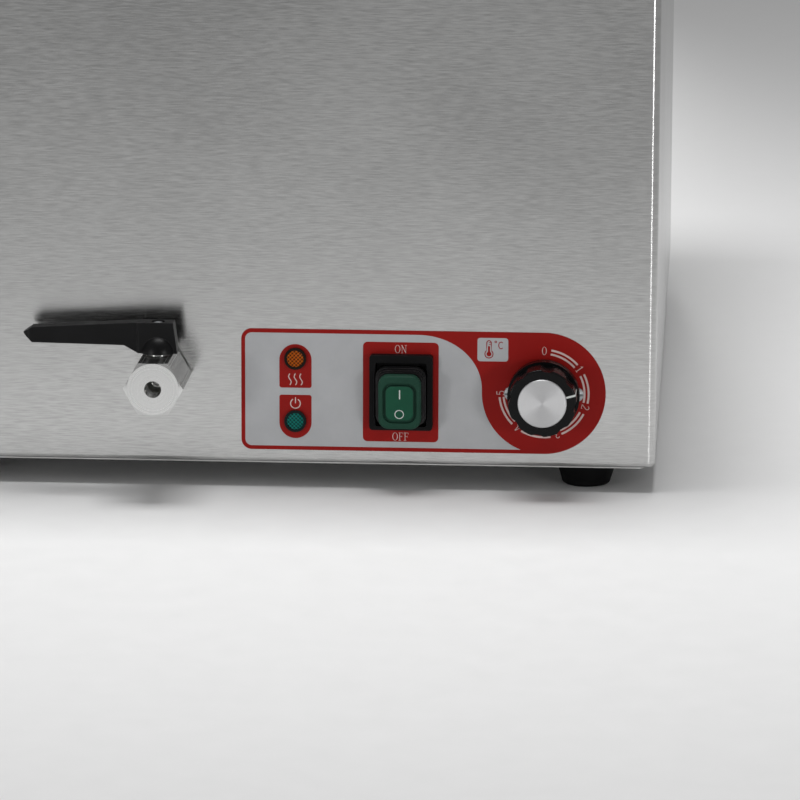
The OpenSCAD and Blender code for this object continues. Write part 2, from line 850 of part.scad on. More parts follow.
// Shaft with a flat on the side away from the pointer
module thermostat_shaft() {
    start = thermostat_plate_z - shaft_in;
    color("gold") on_dial() rotate([0, 0, 90 - dial_rest]) difference() {
        translate([0, 0, start]) cylinder(d = shaft_d, h = knob_reach - knob_cover - start);
        translate([-shaft_d / 2 - shaft_flat, -shaft_d, knob_back])
            cube([2 * shaft_flat, 2 * shaft_d, knob_reach]);
    }
}

module control_knob() {
    skirt_h = 5.4;
    nose_r = 0.8;
    draft = 0.1;
    flute_r = 6;
    flute_depth = 0.9;
    shell_t = 2.5;
    hub_d = 11;
    hollow = knob_reach * 0.6;
    knob_r = knob_d / 2;
    front_r = knob_front_d / 2;
    color("#181818") on_dial() rotate([0, 0, 90 - dial_rest]) difference() {
        rotate_extrude() {
            polygon([[0, knob_back], [knob_r, knob_back], [knob_r, knob_back + skirt_h],
                [front_r + draft, knob_back + skirt_h], [front_r, knob_reach - nose_r],
                [0, knob_reach - nose_r]]);
            translate([front_r - nose_r, knob_reach - nose_r]) quarter_disc(nose_r);
            square([front_r - nose_r, knob_reach]);
        }
        cylinder(d = 2 * knob_r, h = knob_back);
        for (i = [0:flutes - 1])
            rotate([0, 0, (i + 0.5) * 360 / flutes])
                translate([front_r + flute_r - flute_depth, 0, knob_back + skirt_h])
                    cylinder(r = flute_r, h = knob_reach);
        translate([0, 0, knob_back - over])
            ring(2 * (front_r - flute_depth - shell_t), hub_d, hollow - knob_back + over);
        difference() {
            translate([0, 0, -over])
                cylinder(d = shaft_d + 2 * run_c, h = knob_reach - knob_cover + loose_c + over);
            translate([-shaft_d / 2 - shaft_flat - run_c, -shaft_d, -over])
                cube([2 * shaft_flat, 2 * shaft_d, knob_reach + over]);
        }
        translate([0, 0, knob_reach + cap_proud - cap_t])
            cylinder(d = cap_d + 2 * run_c, h = cap_t + over);
    }
}

module knob_cap() {
    edge = 0.3;
    r = cap_d / 2;
    color("gainsboro") on_dial() translate([0, 0, knob_reach + cap_proud - cap_t]) rotate_extrude()
        polygon([[0, 0], [r, 0], [r, cap_t - edge], [r - edge, cap_t], [0, cap_t]]);
}

// Thermostat's feeler: the tube runs back, across and up through the tank's floor to the bulb
module capillary_tube() {
    start_x = dial_x - thermostat_w / 3;
    start_y = front_y - thermostat_plate_z + thermostat_l;
    route_z = dial_z;
    color("peru") bar([[start_x, start_y, route_z], [start_x, sensor_y, route_z],
        [sensor_x, sensor_y, route_z], [sensor_x, sensor_y, sensor_z],
        [sensor_x, sensor_y + bulb_start, sensor_z]], capillary_d, capillary_bend);
}

module sensor_bulb() {
    color("peru") translate([sensor_x, sensor_y + bulb_start, sensor_z]) rotate([-90, 0, 0])
        cylinder(d = bulb_d, h = bulb_l);
}

module sensor_gland() {
    color("darkgoldenrod") translate([sensor_x, sensor_y, tank_under_z]) difference() {
        union() {
            translate([0, 0, -sensor_nut_t]) hexagon(sensor_nut_af, sensor_nut_t);
            translate([0, 0, -sensor_nut_t]) cylinder(d = sensor_gland_d, h = sensor_nut_t + sheet_t);
        }
        translate([0, 0, -sensor_nut_t - over])
            cylinder(d = capillary_d + 2 * run_c, h = sensor_nut_t + sheet_t + 2 * over);
    }
}

// Rocker switch

module on_switch() {
    on_front(switch_x, dial_z) children();
}

// Frame of the rocker at rest: tipped to the off side about its pivot on the panel
module on_rocker() {
    on_switch() translate([0, -rocker_drop, 0]) rotate([rocker_tilt, 0, 0]) children();
}

module switch_bezel() {
    lip = 0.6;
    bezel_r = 1.5;
    side_c = 0.6;
    end_c = 0.9;
    color("#1c1c1c") on_switch() difference() {
        translate([0, 0, label_t]) plate(bezel_w, bezel_h, bezel_r, bezel_t);
        translate([0, -rocker_drop, -over])
            plate(cutout_w, cutout_h, cutout_r, label_t + bezel_t + 2 * over);
        translate([0, -rocker_drop, label_t + lip])
            plate(boot_w + 2 * side_c, boot_h + 2 * end_c, boot_r, bezel_t + over);
    }
}

module switch_housing() {
    ear_w = 6;
    ear_h = pivot_d / 2 + 0.9;
    inner_w = housing_w - 2 * housing_wall;
    inner_h = housing_h - 2 * housing_wall;
    color("#242424") on_switch() translate([0, -rocker_drop, 0]) difference() {
        union() {
            translate([0, 0, -housing_back]) plate(housing_w, housing_h, cutout_r, housing_back);
            translate([-housing_w / 2, -ear_w / 2, -over]) cube([housing_w, ear_w, ear_h + over]);
        }
        translate([0, 0, housing_wall - housing_back])
            plate(inner_w, inner_h, cutout_r, housing_back + ear_h);
        rotate([0, 90, 0]) cylinder(d = pivot_d + 2 * run_c, h = housing_w + 2 * over, center = true);
    }
}

module switch_terminals() {
    color("gold") on_switch() for (x = [-1, 1], y = [-1, 1])
        translate([x * switch_blade_x, y * switch_blade_y - rocker_drop, -housing_back - blade_l / 2])
            cube(blade, center = true);
}

// Black stepped skirt of the waterproof boot
module switch_boot() {
    step_h = (rocker_cap_z - boot_start) / 3;
    step_w = 1;
    step_l = 0.7;
    hole_r = boot_r - boot_wall;
    color("#202020") on_rocker() difference() {
        union() for (i = [0:2])
            translate([0, 0, boot_start])
                plate(boot_w - i * step_w, boot_h - i * step_l, boot_r, (i + 1) * step_h);
        translate([0, 0, boot_start - over])
            plate(rocker_w - 2 * boot_wall, rocker_h - 2 * boot_wall, hole_r, rocker_reach);
    }
}

// Green cap with a grooved finger pad, its leg and its pivot pin
module switch_rocker() {
    edge_r = 1.2;
    groove = 1.3;
    groove_w = 1.4;
    pad_side = 3.2;
    pad_end = 4.3;
    pad_w = rocker_w - 2 * pad_side;
    pad_h = rocker_h - 2 * pad_end;
    pad_r = 3;
    leg_w = 14;
    leg_h = 10;
    leg_in = 2;
    color("seagreen") on_rocker() {
        difference() {
            translate([0, 0, rocker_cap_z]) soft_box(rocker_w, rocker_h, rocker_cap_t, boot_r, edge_r);
            translate([0, 0, rocker_reach - groove]) linear_extrude(groove + over) difference() {
                rounded_rect(pad_w + 2 * groove_w, pad_h + 2 * groove_w, pad_r + groove_w);
                rounded_rect(pad_w, pad_h, pad_r);
            }
        }
        translate([-leg_w / 2, -leg_h / 2, -leg_in]) cube([leg_w, leg_h, rocker_cap_z + leg_in]);
        rotate([0, 90, 0]) cylinder(d = pivot_d, h = housing_w - 2 * slide_c, center = true);
    }
}

// Lamps

module on_lamp(row) {
    on_front(lamp_x, dial_z + row * lamp_pitch / 2) children();
}

module lamp_lens(row) {
    dome_r = 2 * lamp_lens_d;
    on_lamp(row) translate([0, 0, -lamp_seat]) rotate_extrude() intersection() {
        square([lamp_lens_d / 2, lamp_lens_l]);
        translate([0, lamp_lens_l - dome_r]) circle(dome_r);
    }
}

module lamp_rim(row) {
    on_lamp(row) translate([0, 0, label_t]) ring(lamp_rim_d, lamp_lens_d + 2 * run_c, lamp_rim_t);
}

module lamp_body(row) {
    on_lamp(row) difference() {
        union() {
            translate([0, 0, -lamp_back]) cylinder(d = lamp_body_d, h = lamp_back + label_t);
            translate([0, 0, -sheet_t - lamp_flange_t]) cylinder(d = lamp_flange_d, h = lamp_flange_t);
        }
        translate([0, 0, -lamp_seat])
            cylinder(d = lamp_lens_d + 2 * run_c, h = lamp_seat + label_t + over);
    }
}

module heat_lamp_lens() { color("darkorange") lamp_lens(1); }
module heat_lamp_rim() { color("saddlebrown") lamp_rim(1); }
module heat_lamp_body() { color("#303030") lamp_body(1); }
module power_lamp_lens() { color("teal") lamp_lens(-1); }
module power_lamp_rim() { color("darkslategray") lamp_rim(-1); }
module power_lamp_body() { color("#303030") lamp_body(-1); }

// Cable entry and wiring

module on_gland() {
    on_rear(-gland_left, gland_z) children();
}

module cable_gland() {
    bore_d = gland_bore_d + 3;
    color("#303030") on_gland() difference() {
        union() {
            translate([0, 0, -sheet_t - gland_thread_l])
                cylinder(d = gland_thread_d, h = gland_thread_l + sheet_t + over);
            hexagon(gland_af, gland_base_t);
        }
        translate([0, 0, -sheet_t - gland_thread_l - over])
            cylinder(d = bore_d, h = gland_thread_l + sheet_t + gland_base_t + 2 * over);
    }
}

module gland_cap() {
    hex_t = gland_reach - gland_base_t - gland_nose_l;
    color("#303030") on_gland() translate([0, 0, gland_base_t]) difference() {
        union() {
            hexagon(gland_af, hex_t);
            translate([0, 0, hex_t]) cylinder(d1 = gland_af, d2 = gland_nose_d, h = gland_nose_l);
        }
        translate([0, 0, -over]) cylinder(d = gland_bore_d, h = gland_reach);
    }
}

module gland_locknut() {
    color("#303030") on_gland() translate([0, 0, -sheet_t - gland_nut_t])
        hex_nut(gland_af, gland_thread_d + 2 * run_c, gland_nut_t);
}

module terminal_block() {
    way_l = block_size[0] / block_ways;
    hood = [8, 12, 6];
    hole_d = 5;
    hole_in = 2;
    color("ivory") translate([-gland_left, block_y, base_z]) difference() {
        union() {
            translate([0, 0, block_size[2] / 2]) cube(block_size, center = true);
            for (i = [0:block_ways - 1])
                translate([(i + 0.5) * way_l - block_size[0] / 2, 0, block_size[2] + hood[2] / 2])
                    cube(hood, center = true);
        }
        for (i = [0:block_ways - 1])
            translate([(i + 0.5) * way_l - block_size[0] / 2, 0, block_size[2] - hole_in])
                cylinder(d = hole_d, h = hood[2] + hole_in + over);
    }
}

module earth_stud() {
    stud_d = 5;
    stud_l = 16;
    stud_nut_af = 8;
    stud_nut_t = 4;
    beside = 50;
    color("goldenrod") translate([beside - gland_left, block_y, base_z]) {
        cylinder(d = stud_d, h = stud_l);
        hex_nut(stud_nut_af, stud_d + 2 * run_c, stud_nut_t);
    }
}

// Supply, switched, heater and return wires, each tied along square turns
module wiring_loom() {
    turn = 14;
    spread = 5;
    cross_back = 112;
    cross_y = front_y + cross_back;
    block_front = block_y - block_size[1] / 2;
    terminal_y = front_y + housing_back + blade_l;
    thermostat_y = front_y - thermostat_plate_z + thermostat_l + blade_l;
    in_x = switch_x - switch_blade_x;
    in_z = dial_z - switch_blade_y - rocker_drop;
    out_x = switch_x + switch_blade_x;
    out_z = dial_z + switch_blade_y - rocker_drop;
    heat_z = dial_z - thermostat_blade_y;
    supply_z = wire_z - wire_d;
    back_z = wire_z + wire_d;
    fit_x = element_pitch / 2;
    supply = [[spread - gland_left, block_front, supply_z], [spread - gland_left, cross_y, supply_z],
        [in_x, cross_y, supply_z], [in_x, terminal_y + turn, supply_z],
        [in_x, terminal_y + turn, in_z], [in_x, terminal_y, in_z]];
    switched = [[out_x, terminal_y, out_z], [out_x, terminal_y + turn, out_z],
        [dial_x - thermostat_blade_x, terminal_y + turn, out_z],
        [dial_x - thermostat_blade_x, thermostat_y, out_z]];
    heater = [[dial_x + thermostat_blade_x, thermostat_y, heat_z],
        [dial_x + thermostat_blade_x, element_y, heat_z], [fit_x, element_y, heat_z],
        [fit_x, element_y, element_tail_z]];
    back = [[-fit_x, element_y, element_tail_z], [-fit_x, element_y, back_z],
        [-gland_left - spread, element_y, back_z], [-gland_left - spread, block_front, back_z]];
    color("sienna") for (wire = [supply, switched, heater, back]) bar(wire, wire_d, wire_bend);
}

// Pans and lids

// The three places, front to rear
function pan_y(place) = mid_y + (place - 1) * pan_l;

module pan(place) {
    w = pan_w;
    l = pan_l - pan_gap;
    open_w = w - 2 * pan_rim_w;
    open_l = l - 2 * pan_rim_w;
    color("gainsboro") translate([0, pan_y(place), pan_top_z]) {
        dish(open_w, open_l, pan_wall_r, pan_lean, pan_depth, pan_floor_r, pan_t);
        translate([0, 0, -pan_t]) linear_extrude(pan_t) difference() {
            rounded_rect(w, l, pan_rim_r);
            rounded_rect(open_w - pan_t, open_l - pan_t, pan_wall_r - pan_t / 2);
        }
        translate([0, 0, -pan_edge_h]) linear_extrude(pan_edge_h) difference() {
            rounded_rect(w, l, pan_rim_r);
            rounded_rect(w - 2 * pan_t, l - 2 * pan_t, pan_rim_r - pan_t);
        }
    }
}

module pan_front() { pan(0); }
module pan_middle() { pan(1); }
module pan_rear() { pan(2); }

module lid(place) {
    w = pan_w;
    l = pan_l - pan_gap;
    raised_w = w - 2 * lid_border;
    raised_l = l - 2 * lid_border;
    corner = pan_wall_r - (lid_border - pan_rim_w);
    fold_r = 3;
    color("gainsboro") translate([0, pan_y(place), pan_top_z]) {
        mirror([0, 0, 1]) dish(raised_w, raised_l, corner, lid_lean, lid_rise, fold_r, pan_t);
        linear_extrude(pan_t) difference() {
            rounded_rect(w, l, pan_rim_r);
            rounded_rect(raised_w - pan_t, raised_l - pan_t, corner - pan_t / 2);
        }
    }
}

module lid_front() { lid(0); }
module lid_middle() { lid(1); }
module lid_rear() { lid(2); }

// Bent rod with a welded pad under each leg
module lid_handle(place) {
    half = (handle_l - handle_d) / 2;
    pad_t = 1.5;
    pad_d = 2.2 * handle_d;
    bend = 1.5 * handle_d;
    rod_z = lid_top_z + handle_h - handle_d / 2;
    color("silver") translate([0, pan_y(place), 0]) {
        bar([[-half, 0, lid_top_z], [-half, 0, rod_z], [half, 0, rod_z], [half, 0, lid_top_z]],
            handle_d, bend);
        for (x = [-1, 1])
            translate([x * half, 0, lid_top_z]) cylinder(d = pad_d, h = pad_t);
    }
}

module lid_handle_front() { lid_handle(0); }
module lid_handle_middle() { lid_handle(1); }
module lid_handle_rear() { lid_handle(2); }

outer_shell();
base_plate();
base_screws();
foot_front_left();
foot_front_right();
foot_rear_left();
foot_rear_right();
foot_screws();
foot_nuts();
water_tank();
heating_element();
element_seals();
element_nuts();
drain_elbow();
drain_nipple();
drain_locknut();
drain_washer();
valve_body();
valve_seats();
valve_ball();
valve_stem();
valve_lever();
lever_screw();
control_label();
thermostat_body();
thermostat_screws();
thermostat_shaft();
control_knob();
knob_cap();
capillary_tube();
sensor_bulb();
sensor_gland();
switch_bezel();
switch_housing();
switch_terminals();
switch_boot();
switch_rocker();
heat_lamp_lens();
heat_lamp_rim();
heat_lamp_body();
power_lamp_lens();
power_lamp_rim();
power_lamp_body();
cable_gland();
gland_cap();
gland_locknut();
terminal_block();
earth_stud();
wiring_loom();
pan_front();
pan_middle();
pan_rear();
lid_front();
lid_middle();
lid_rear();
lid_handle_front();
lid_handle_middle();
lid_handle_rear();
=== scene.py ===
import json
import math

import bmesh
import bpy
from bpy.props import FloatProperty, FloatVectorProperty, PointerProperty
from mathutils import Matrix, Vector


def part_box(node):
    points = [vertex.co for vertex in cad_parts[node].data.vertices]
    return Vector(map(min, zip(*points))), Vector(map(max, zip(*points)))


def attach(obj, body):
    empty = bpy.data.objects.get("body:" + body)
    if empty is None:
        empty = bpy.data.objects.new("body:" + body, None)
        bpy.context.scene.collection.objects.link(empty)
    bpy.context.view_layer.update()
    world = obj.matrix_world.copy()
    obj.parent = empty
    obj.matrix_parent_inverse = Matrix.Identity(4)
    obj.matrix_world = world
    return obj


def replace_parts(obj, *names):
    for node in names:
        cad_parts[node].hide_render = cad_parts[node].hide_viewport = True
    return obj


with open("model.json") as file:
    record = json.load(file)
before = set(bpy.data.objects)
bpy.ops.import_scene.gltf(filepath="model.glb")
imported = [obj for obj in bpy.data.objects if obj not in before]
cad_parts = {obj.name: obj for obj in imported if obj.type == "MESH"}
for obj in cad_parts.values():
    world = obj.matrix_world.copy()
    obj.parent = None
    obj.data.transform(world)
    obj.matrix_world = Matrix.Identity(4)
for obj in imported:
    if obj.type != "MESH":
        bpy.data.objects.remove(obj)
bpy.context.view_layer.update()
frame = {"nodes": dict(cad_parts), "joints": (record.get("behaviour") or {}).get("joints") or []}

bl_info = {
    "name": "Bain marie finishes",
    "version": (1, 0, 0),
    "blender": (4, 5, 0),
    "location": "3D View > Sidebar > Bain marie",
    "description": "Printed panel, small pieces, finishes and stage of a countertop bain marie",
    "category": "Object",
}

MM = 0.001
JOINTS = {joint["name"]: joint for joint in frame["joints"]}
DIAL = Vector(JOINTS["knob_turn"]["pos_m"])
ROCKER = Vector(JOINTS["rocker_tilt"]["pos_m"])
VALVE = Vector(JOINTS["lever_turn"]["pos_m"])
LABEL_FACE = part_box("control_label")[0].y

# Angles in degrees: the dial's numbers run from one end of the knob's turn to the other,
# its arcs start and end so far past a number, and the rocker leans by half its range
DIAL_FIRST, DIAL_LAST = JOINTS["knob_turn"]["range_deg"]
DIAL_NUMBERS = 6
DIAL_STEP = (DIAL_LAST - DIAL_FIRST) / (DIAL_NUMBERS - 1)
ARC_START = 9
ARC_END = 48.3
ROCKER_TILT = -JOINTS["rocker_tilt"]["range_deg"][0] / 2
POWER_RING_ENDS = (120, 420)
GAUGE_NECK_TRIM = 8
POINTER_NOSE_END = 8

# Print in millimetres from the dial's centre, x to the right and y up; a box is left, low, right, high
FIELD_CORNER = 2.8
FIELD_SHOULDER = (-54, 1.5)
DISC_MARGIN = 0.2
BEZEL_CORNER = 1.5
SWITCH_PLATE = (-77.9, -22.2, -45.3, 21.5)
SWITCH_PLATE_CORNER = 2
ON_PLACE = (-61.6, 18.5)
OFF_PLACE = (-61.65, -19.9)

# Plates of the lamps and their signs
LAMP_X = -107
LAMP_PLATE_HALF = 6.95
LAMP_PLATE_CORNER = 1.0
HEAT_PLATE_FOOT = 0.8
HEAT_PLATE_CENTRE = 13.0
POWER_PLATE_HEAD = -2.3
POWER_PLATE_CENTRE = -14.4
SIGN_LINE = 0.43
WAVE_GAP = 2.4
WAVE_FOOT = 2.0
WAVE_HEIGHT = 5.0
WAVE_SWAY = 0.55
WAVE_STEPS = 16
POWER_RING_Y = -6.1
POWER_RING_R = 2.1
POWER_BAR = (-6.0, -3.4)

# Thermometer: the radii inside and outside are those of its bulb and its tube
GAUGE_PLATE = (-28.7, 13.75, -15.5, 23.95)
GAUGE_PLATE_CORNER = 1.2
GAUGE_X = -23.75
GAUGE_BULB_Y = 16.95
GAUGE_TOP_Y = 21.85
GAUGE_OUTSIDE = (1.95, 1.15)
GAUGE_INSIDE = (1.52, 0.72)
GAUGE_DROP_R = 1.05
COLUMN_HALF = 0.45
COLUMN_TOP_Y = 20.4
COLUMN_CORNER = 0.2
TICKS_Y = (20.9, 21.8)
TICK_ENDS = (-0.1, 0.8)
TICK_H = 0.25
TICK_CORNER = 0.1
DEGREE_PLACE = (-20.9, 22.3)
DEGREE_RADII = (0.52, 0.22)
LETTER_PLACE = (-18.7, 20.8)
LETTER_H = 3.2

# Small pieces in millimetres; the rocker's marks are measured from the middle of its face
ROCKER_REACH = 14.0
ROCKER_LAYER = 0.04
ROCKER_FACE = (-5.75, -7.5, 5.75, 7.5)
ROCKER_FACE_CORNER = 2.8
ON_MARK = (-0.15, 1.9, 0.35, 6.0)
ON_MARK_CORNER = 0.15
OFF_MARK_PLACE = (-0.1, -5.0)
OFF_MARK_RADII = (2.0, 1.66)
LENS_PITCH = 1.18
LENS_GROOVE = 0.18
LENS_DOME_RADII = 4
LENS_RINGS = 36
LENS_SIDES = 144
POINTER_HALF = 0.42
POINTER_PROUD = 0.03
POINTER_CAP_GAP = 0.15
POINTER_NOSE = 0.8
POINTER_FRONT_R = 14.6
POINTER_FOOT_R = 14.7
POINTER_FOOT = 5.7

# Stage in metres
TABLE_HALF = 6
TABLE_CELLS = 24
KEY_PLACE = (0, -0.13, 1.1)
KEY_TARGET = (0, -0.13, 0)
KEY_SIZE = 0.6
PANEL_PLACES = {"left": (-1.15, -1.65, 0.18), "right": (1.15, -1.65, 0.18), "rear": (0, 1.65, 0.18)}
PANEL_AIM = 0.16
PANEL_TARGET_Z = 0.1
PANEL_SIZE = 0.2
PANEL_SPREAD = math.radians(40)
SENSOR_MM = 36
CLIP = (0.05, 50)


def linear(red, green, blue):
    """Scene colour of a display colour that is written from 0 to 255"""
    shares = [value / 255 for value in (red, green, blue)]
    return tuple(s / 12.92 if s <= 0.04045 else ((s + 0.055) / 1.055) ** 2.4 for s in shares)


def colour(name, description, *display):
    """Setting for a colour, written as it is displayed"""
    return FloatVectorProperty(
        name=name, description=description, default=linear(*display),
        subtype="COLOR", size=3, min=0, max=1)


def length(name, description, millimetres):
    """Setting for a length, written in millimetres and kept in metres"""
    return FloatProperty(
        name=name, description=description, default=millimetres * MM, unit="LENGTH", min=0, precision=5)


def angle(name, description, degrees):
    """Setting for an angle, written in degrees"""
    return FloatProperty(
        name=name, description=description, default=math.radians(degrees), subtype="ANGLE")


def power(name, description, watts):
    """Setting for the power of a light"""
    return FloatProperty(name=name, description=description, default=watts, unit="POWER", min=0)


# Settings

class WarmerColours(bpy.types.PropertyGroup):
    """Colours of the finishes"""
    steel: colour("Cabinet steel", "Brushed sheet of the cabinet", 197, 197, 196)
    pressed: colour("Pressed steel", "Satin sheet of the tank, pans and lids", 200, 200, 199)
    plate: colour("Plating", "Bright plating of the valve and handles", 214, 214, 213)
    zinc: colour("Zinc", "Screws and nuts", 166, 168, 170)
    sheath: colour("Element", "Heat-tinted tube of the element", 128, 122, 116)
    red: colour("Label red", "Border, disc and plates of the panel label", 141, 15, 10)
    field: colour("Label field", "Pale field of the panel label", 174, 175, 177)
    mark: colour("Marks", "Numbers, arcs and words on the red", 206, 184, 180)
    white: colour("Switch marks", "Marks on the rocker and the knob", 204, 208, 205)
    black: colour("Black plastic", "Knob, switch frame and lever", 11, 11, 12)
    rubber: colour("Rubber", "Feet and switch boot", 9, 9, 10)
    green: colour("Rocker", "Raised face of the rocker", 22, 74, 54)
    dark_green: colour("Rocker rim", "Rim and sides of the rocker", 28, 62, 49)
    amber: colour("Heat lens", "Lens of the heat lamp", 140, 65, 2)
    amber_rim: colour("Heat rim", "Rim of the heat lamp", 22, 13, 6)
    teal: colour("Power lens", "Lens of the power lamp", 6, 90, 82)
    teal_rim: colour("Power rim", "Rim of the power lamp", 7, 24, 24)
    spun: colour("Knob cap", "Spun aluminium disc", 202, 202, 203)
    seat: colour("Valve seats", "Seats and washer of the valve", 226, 226, 220)
    brass: colour("Brass", "Fittings, shaft and terminals", 190, 152, 84)
    copper: colour("Copper", "Feeler and its tube", 178, 112, 80)
    ivory: colour("Ivory", "Thermostat and terminal block", 222, 214, 192)
    gland: colour("Gland", "Cable gland at the rear", 30, 30, 31)
    seal: colour("Seals", "Silicone seals of the element", 150, 40, 32)
    sleeve: colour("Wires", "Sleeves of the wires", 120, 66, 34)
    floor: colour("Floor", "Pale table under the warmer", 222, 222, 222)


class WarmerPrint(bpy.types.PropertyGroup):
    """Sizes of the panel's print"""
    film: length("Ink step", "Thickness of one printed layer", 0.03)
    border: length("Border", "Width of the red border", 1.7)
    numeral_h: length("Number height", "Height of a dial number", 3.6)
    numeral_r: length("Number radius", "Distance of the numbers from the dial's centre", 18.7)
    word_h: length("Word height", "Height of the words at the switch", 3.5)
    arc_inner: length("Inner arc", "Middle radius of the inner scale arc", 17.4)
    arc_outer: length("Outer arc", "Middle radius of the outer scale arc", 19.15)
    arc_w: length("Arc width", "Width of a scale arc", 0.85)


class WarmerStage(bpy.types.PropertyGroup):
    """Camera and lights"""
    lens: FloatProperty(name="Lens", description="Focal length", default=227.6, unit="CAMERA", min=20)
    yaw: angle("Yaw", "Turn of the camera to the left", 3.66)
    tilt: angle("Tilt", "Downward tilt of the camera", 11.75)
    roll: angle("Roll", "Roll of the camera", -0.21)
    offset: FloatVectorProperty(
        name="Camera", description="Camera's place from the dial's centre",
        default=(0.07404, -2.12555, 0.43910), subtype="TRANSLATION", unit="LENGTH")
    key: power("Key light", "Power of the softbox overhead", 12.8)
    fill: power("Fill light", "Power of each narrow panel", 0.22)
    sky: FloatProperty(name="Surround", description="Strength of the even surround", default=0.33, min=0)


# Shader helpers

def node(tree, kind, inputs=None, **settings):
    """New shader node with its settings, and its inputs set or linked"""
    made = tree.nodes.new(kind)
    for key, value in settings.items():
        setattr(made, key, value)
    for key, value in (inputs or {}).items():
        if isinstance(value, bpy.types.NodeSocket):
            tree.links.new(value, made.inputs[key])
        else:
            made.inputs[key].default_value = value
    return made


def maths(tree, operation, *values):
    return node(tree, "ShaderNodeMath", dict(enumerate(values)), operation=operation).outputs[0]


def vectors(tree, operation, *values, output=0):
    made = node(tree, "ShaderNodeVectorMath", dict(enumerate(values)), operation=operation)
    return made.outputs[output]


def ramp(tree, value, low, high, to_low, to_high):
    """Value carried from one range to another and held at its ends"""
    limits = {"From Min": low, "From Max": high, "To Min": to_low, "To Max": to_high}
    return node(tree, "ShaderNodeMapRange", {"Value": value, **limits}).outputs[0]


def spread(tree, value, low, high):
    """Noise, which mostly stays between 0.3 and 0.7, carried to a whole range"""
    return ramp(tree, value, 0.3, 0.7, low, high)


def noise(tree, vector, scale, detail, roughness=0.6):
    made = node(tree, "ShaderNodeTexNoise", {
        "Vector": vector, "Scale": scale, "Detail": detail, "Roughness": roughness})
    return made.outputs[0]


def own_place(tree):
    """Place of the shaded point in the object's own frame"""
    return node(tree, "ShaderNodeTexCoord").outputs["Object"]


def effect(name, inputs, outputs=("Shade", "Rough", "Height")):
    """New shader node group with named sockets: the group, what it is given and its results"""
    group = bpy.data.node_groups.new(name, "ShaderNodeTree")
    for label, kind, value in inputs:
        socket = group.interface.new_socket(label, in_out="INPUT", socket_type=f"NodeSocket{kind}")
        socket.default_value = value
    for label in outputs:
        group.interface.new_socket(label, in_out="OUTPUT", socket_type="NodeSocketFloat")
    given = group.nodes.new("NodeGroupInput").outputs
    results = group.nodes.new("NodeGroupOutput").inputs
    return group, given, results


def put_out(group, results, **values):
    for label, socket in values.items():
        group.links.new(socket, results[label])


def brushed_grain():
    """Fine scratches drawn out along one way, over soft clouds"""
    group, given, results = effect("Brushed grain", [
        ("Stretch", "Vector", (90, 90, 2600)), ("Contrast", "Float", 0.1)])
    place = own_place(group)
    scratch = noise(group, vectors(group, "MULTIPLY", place, given["Stretch"]), 1, 2)
    signed = ramp(group, scratch, 0.32, 0.68, -1, 1)
    cloud = spread(group, noise(group, place, 9, 2), -0.25, 0.25)
    shade = maths(group, "MULTIPLY_ADD", maths(group, "ADD", signed, cloud), given["Contrast"], 1)
    rough = spread(group, maths(group, "ADD", scratch, cloud), 0, 1)
    put_out(group, results, Shade=shade, Rough=rough, Height=scratch)
    return group


def moulded_skin():
    """Fine pebbled skin of a moulding, with broad handling marks"""
    group, given, results = effect("Moulded skin", [
        ("Pebbles", "Float", 2500), ("Contrast", "Float", 0.1)])
    place = own_place(group)
    pebble = noise(group, place, given["Pebbles"], 2, 0.5)
    handled = noise(group, place, 60, 4, 0.65)
    shade = maths(group, "MULTIPLY_ADD", spread(group, handled, -1, 1), given["Contrast"], 1)
    put_out(group, results, Shade=shade, Rough=spread(group, handled, 0, 1), Height=pebble)
    return group


def turned_rings():
    """Fine rings of a turned or spun face round a level axis"""
    group, given, results = effect("Turned rings", [
        ("Centre", "Vector", (0, 0, 0)), ("Rings", "Float", 3000), ("Contrast", "Float", 0.1)])
    apart = vectors(group, "SUBTRACT", own_place(group), given["Centre"])
    across = vectors(group, "MULTIPLY", apart, (1, 0, 1))
    radius = vectors(group, "LENGTH", across, output="Value")
    groove = node(group, "ShaderNodeTexNoise", {
        "W": radius, "Scale": given["Rings"], "Detail": 2}, noise_dimensions="1D").outputs[0]
    shade = maths(group, "MULTIPLY_ADD", spread(group, groove, -1, 1), given["Contrast"], 1)
    put_out(group, results, Shade=shade, Rough=spread(group, groove, 0, 1), Height=groove)
    return group


def cross_facets():
    """Small facets of a lens, pressed in two crossing slants, whose lit and shaded sides are painted into
    the colour as painted highlights and painted shade
    """
    group, given, results = effect("Facets and painted glints", [
        ("Pitch", "Float", 0.001), ("Contrast", "Float", 0.3)])
    x, _, z = node(group, "ShaderNodeSeparateXYZ", {0: own_place(group)}).outputs
    turn = maths(group, "DIVIDE", math.pi * math.sqrt(2), given["Pitch"])
    slants = [maths(group, operation, x, z) for operation in ("ADD", "SUBTRACT")]
    waves = [maths(group, "SINE", maths(group, "MULTIPLY", slant, turn)) for slant in slants]
    facet_relief_and_glint = maths(group, "MULTIPLY", maths(group, "ADD", *waves), 0.5)
    shade = maths(group, "MULTIPLY_ADD", facet_relief_and_glint, given["Contrast"], 1)
    put_out(group, results, Shade=shade, Rough=ramp(group, facet_relief_and_glint, -1, 1, 0, 1), Height=facet_relief_and_glint)
    return group


def worn_edges():
    """Mask of the outer edges, broken up as handling does it"""
    group, given, results = effect("Worn edges", [("Width", "Float", 0.0006)], ("Mask",))
    true_normal = node(group, "ShaderNodeNewGeometry").outputs["Normal"]
    round_normal = node(group, "ShaderNodeBevel", {"Radius": given["Width"]}, samples=4).outputs[0]
    facing = vectors(group, "DOT_PRODUCT", true_normal, round_normal, output="Value")
    edge = ramp(group, facing, 0.98, 0.8, 0, 1)
    patchy = ramp(group, noise(group, own_place(group), 400, 3), 0.35, 0.6, 0.2, 1)
    put_out(group, results, Mask=maths(group, "MULTIPLY", edge, patchy))
    return group


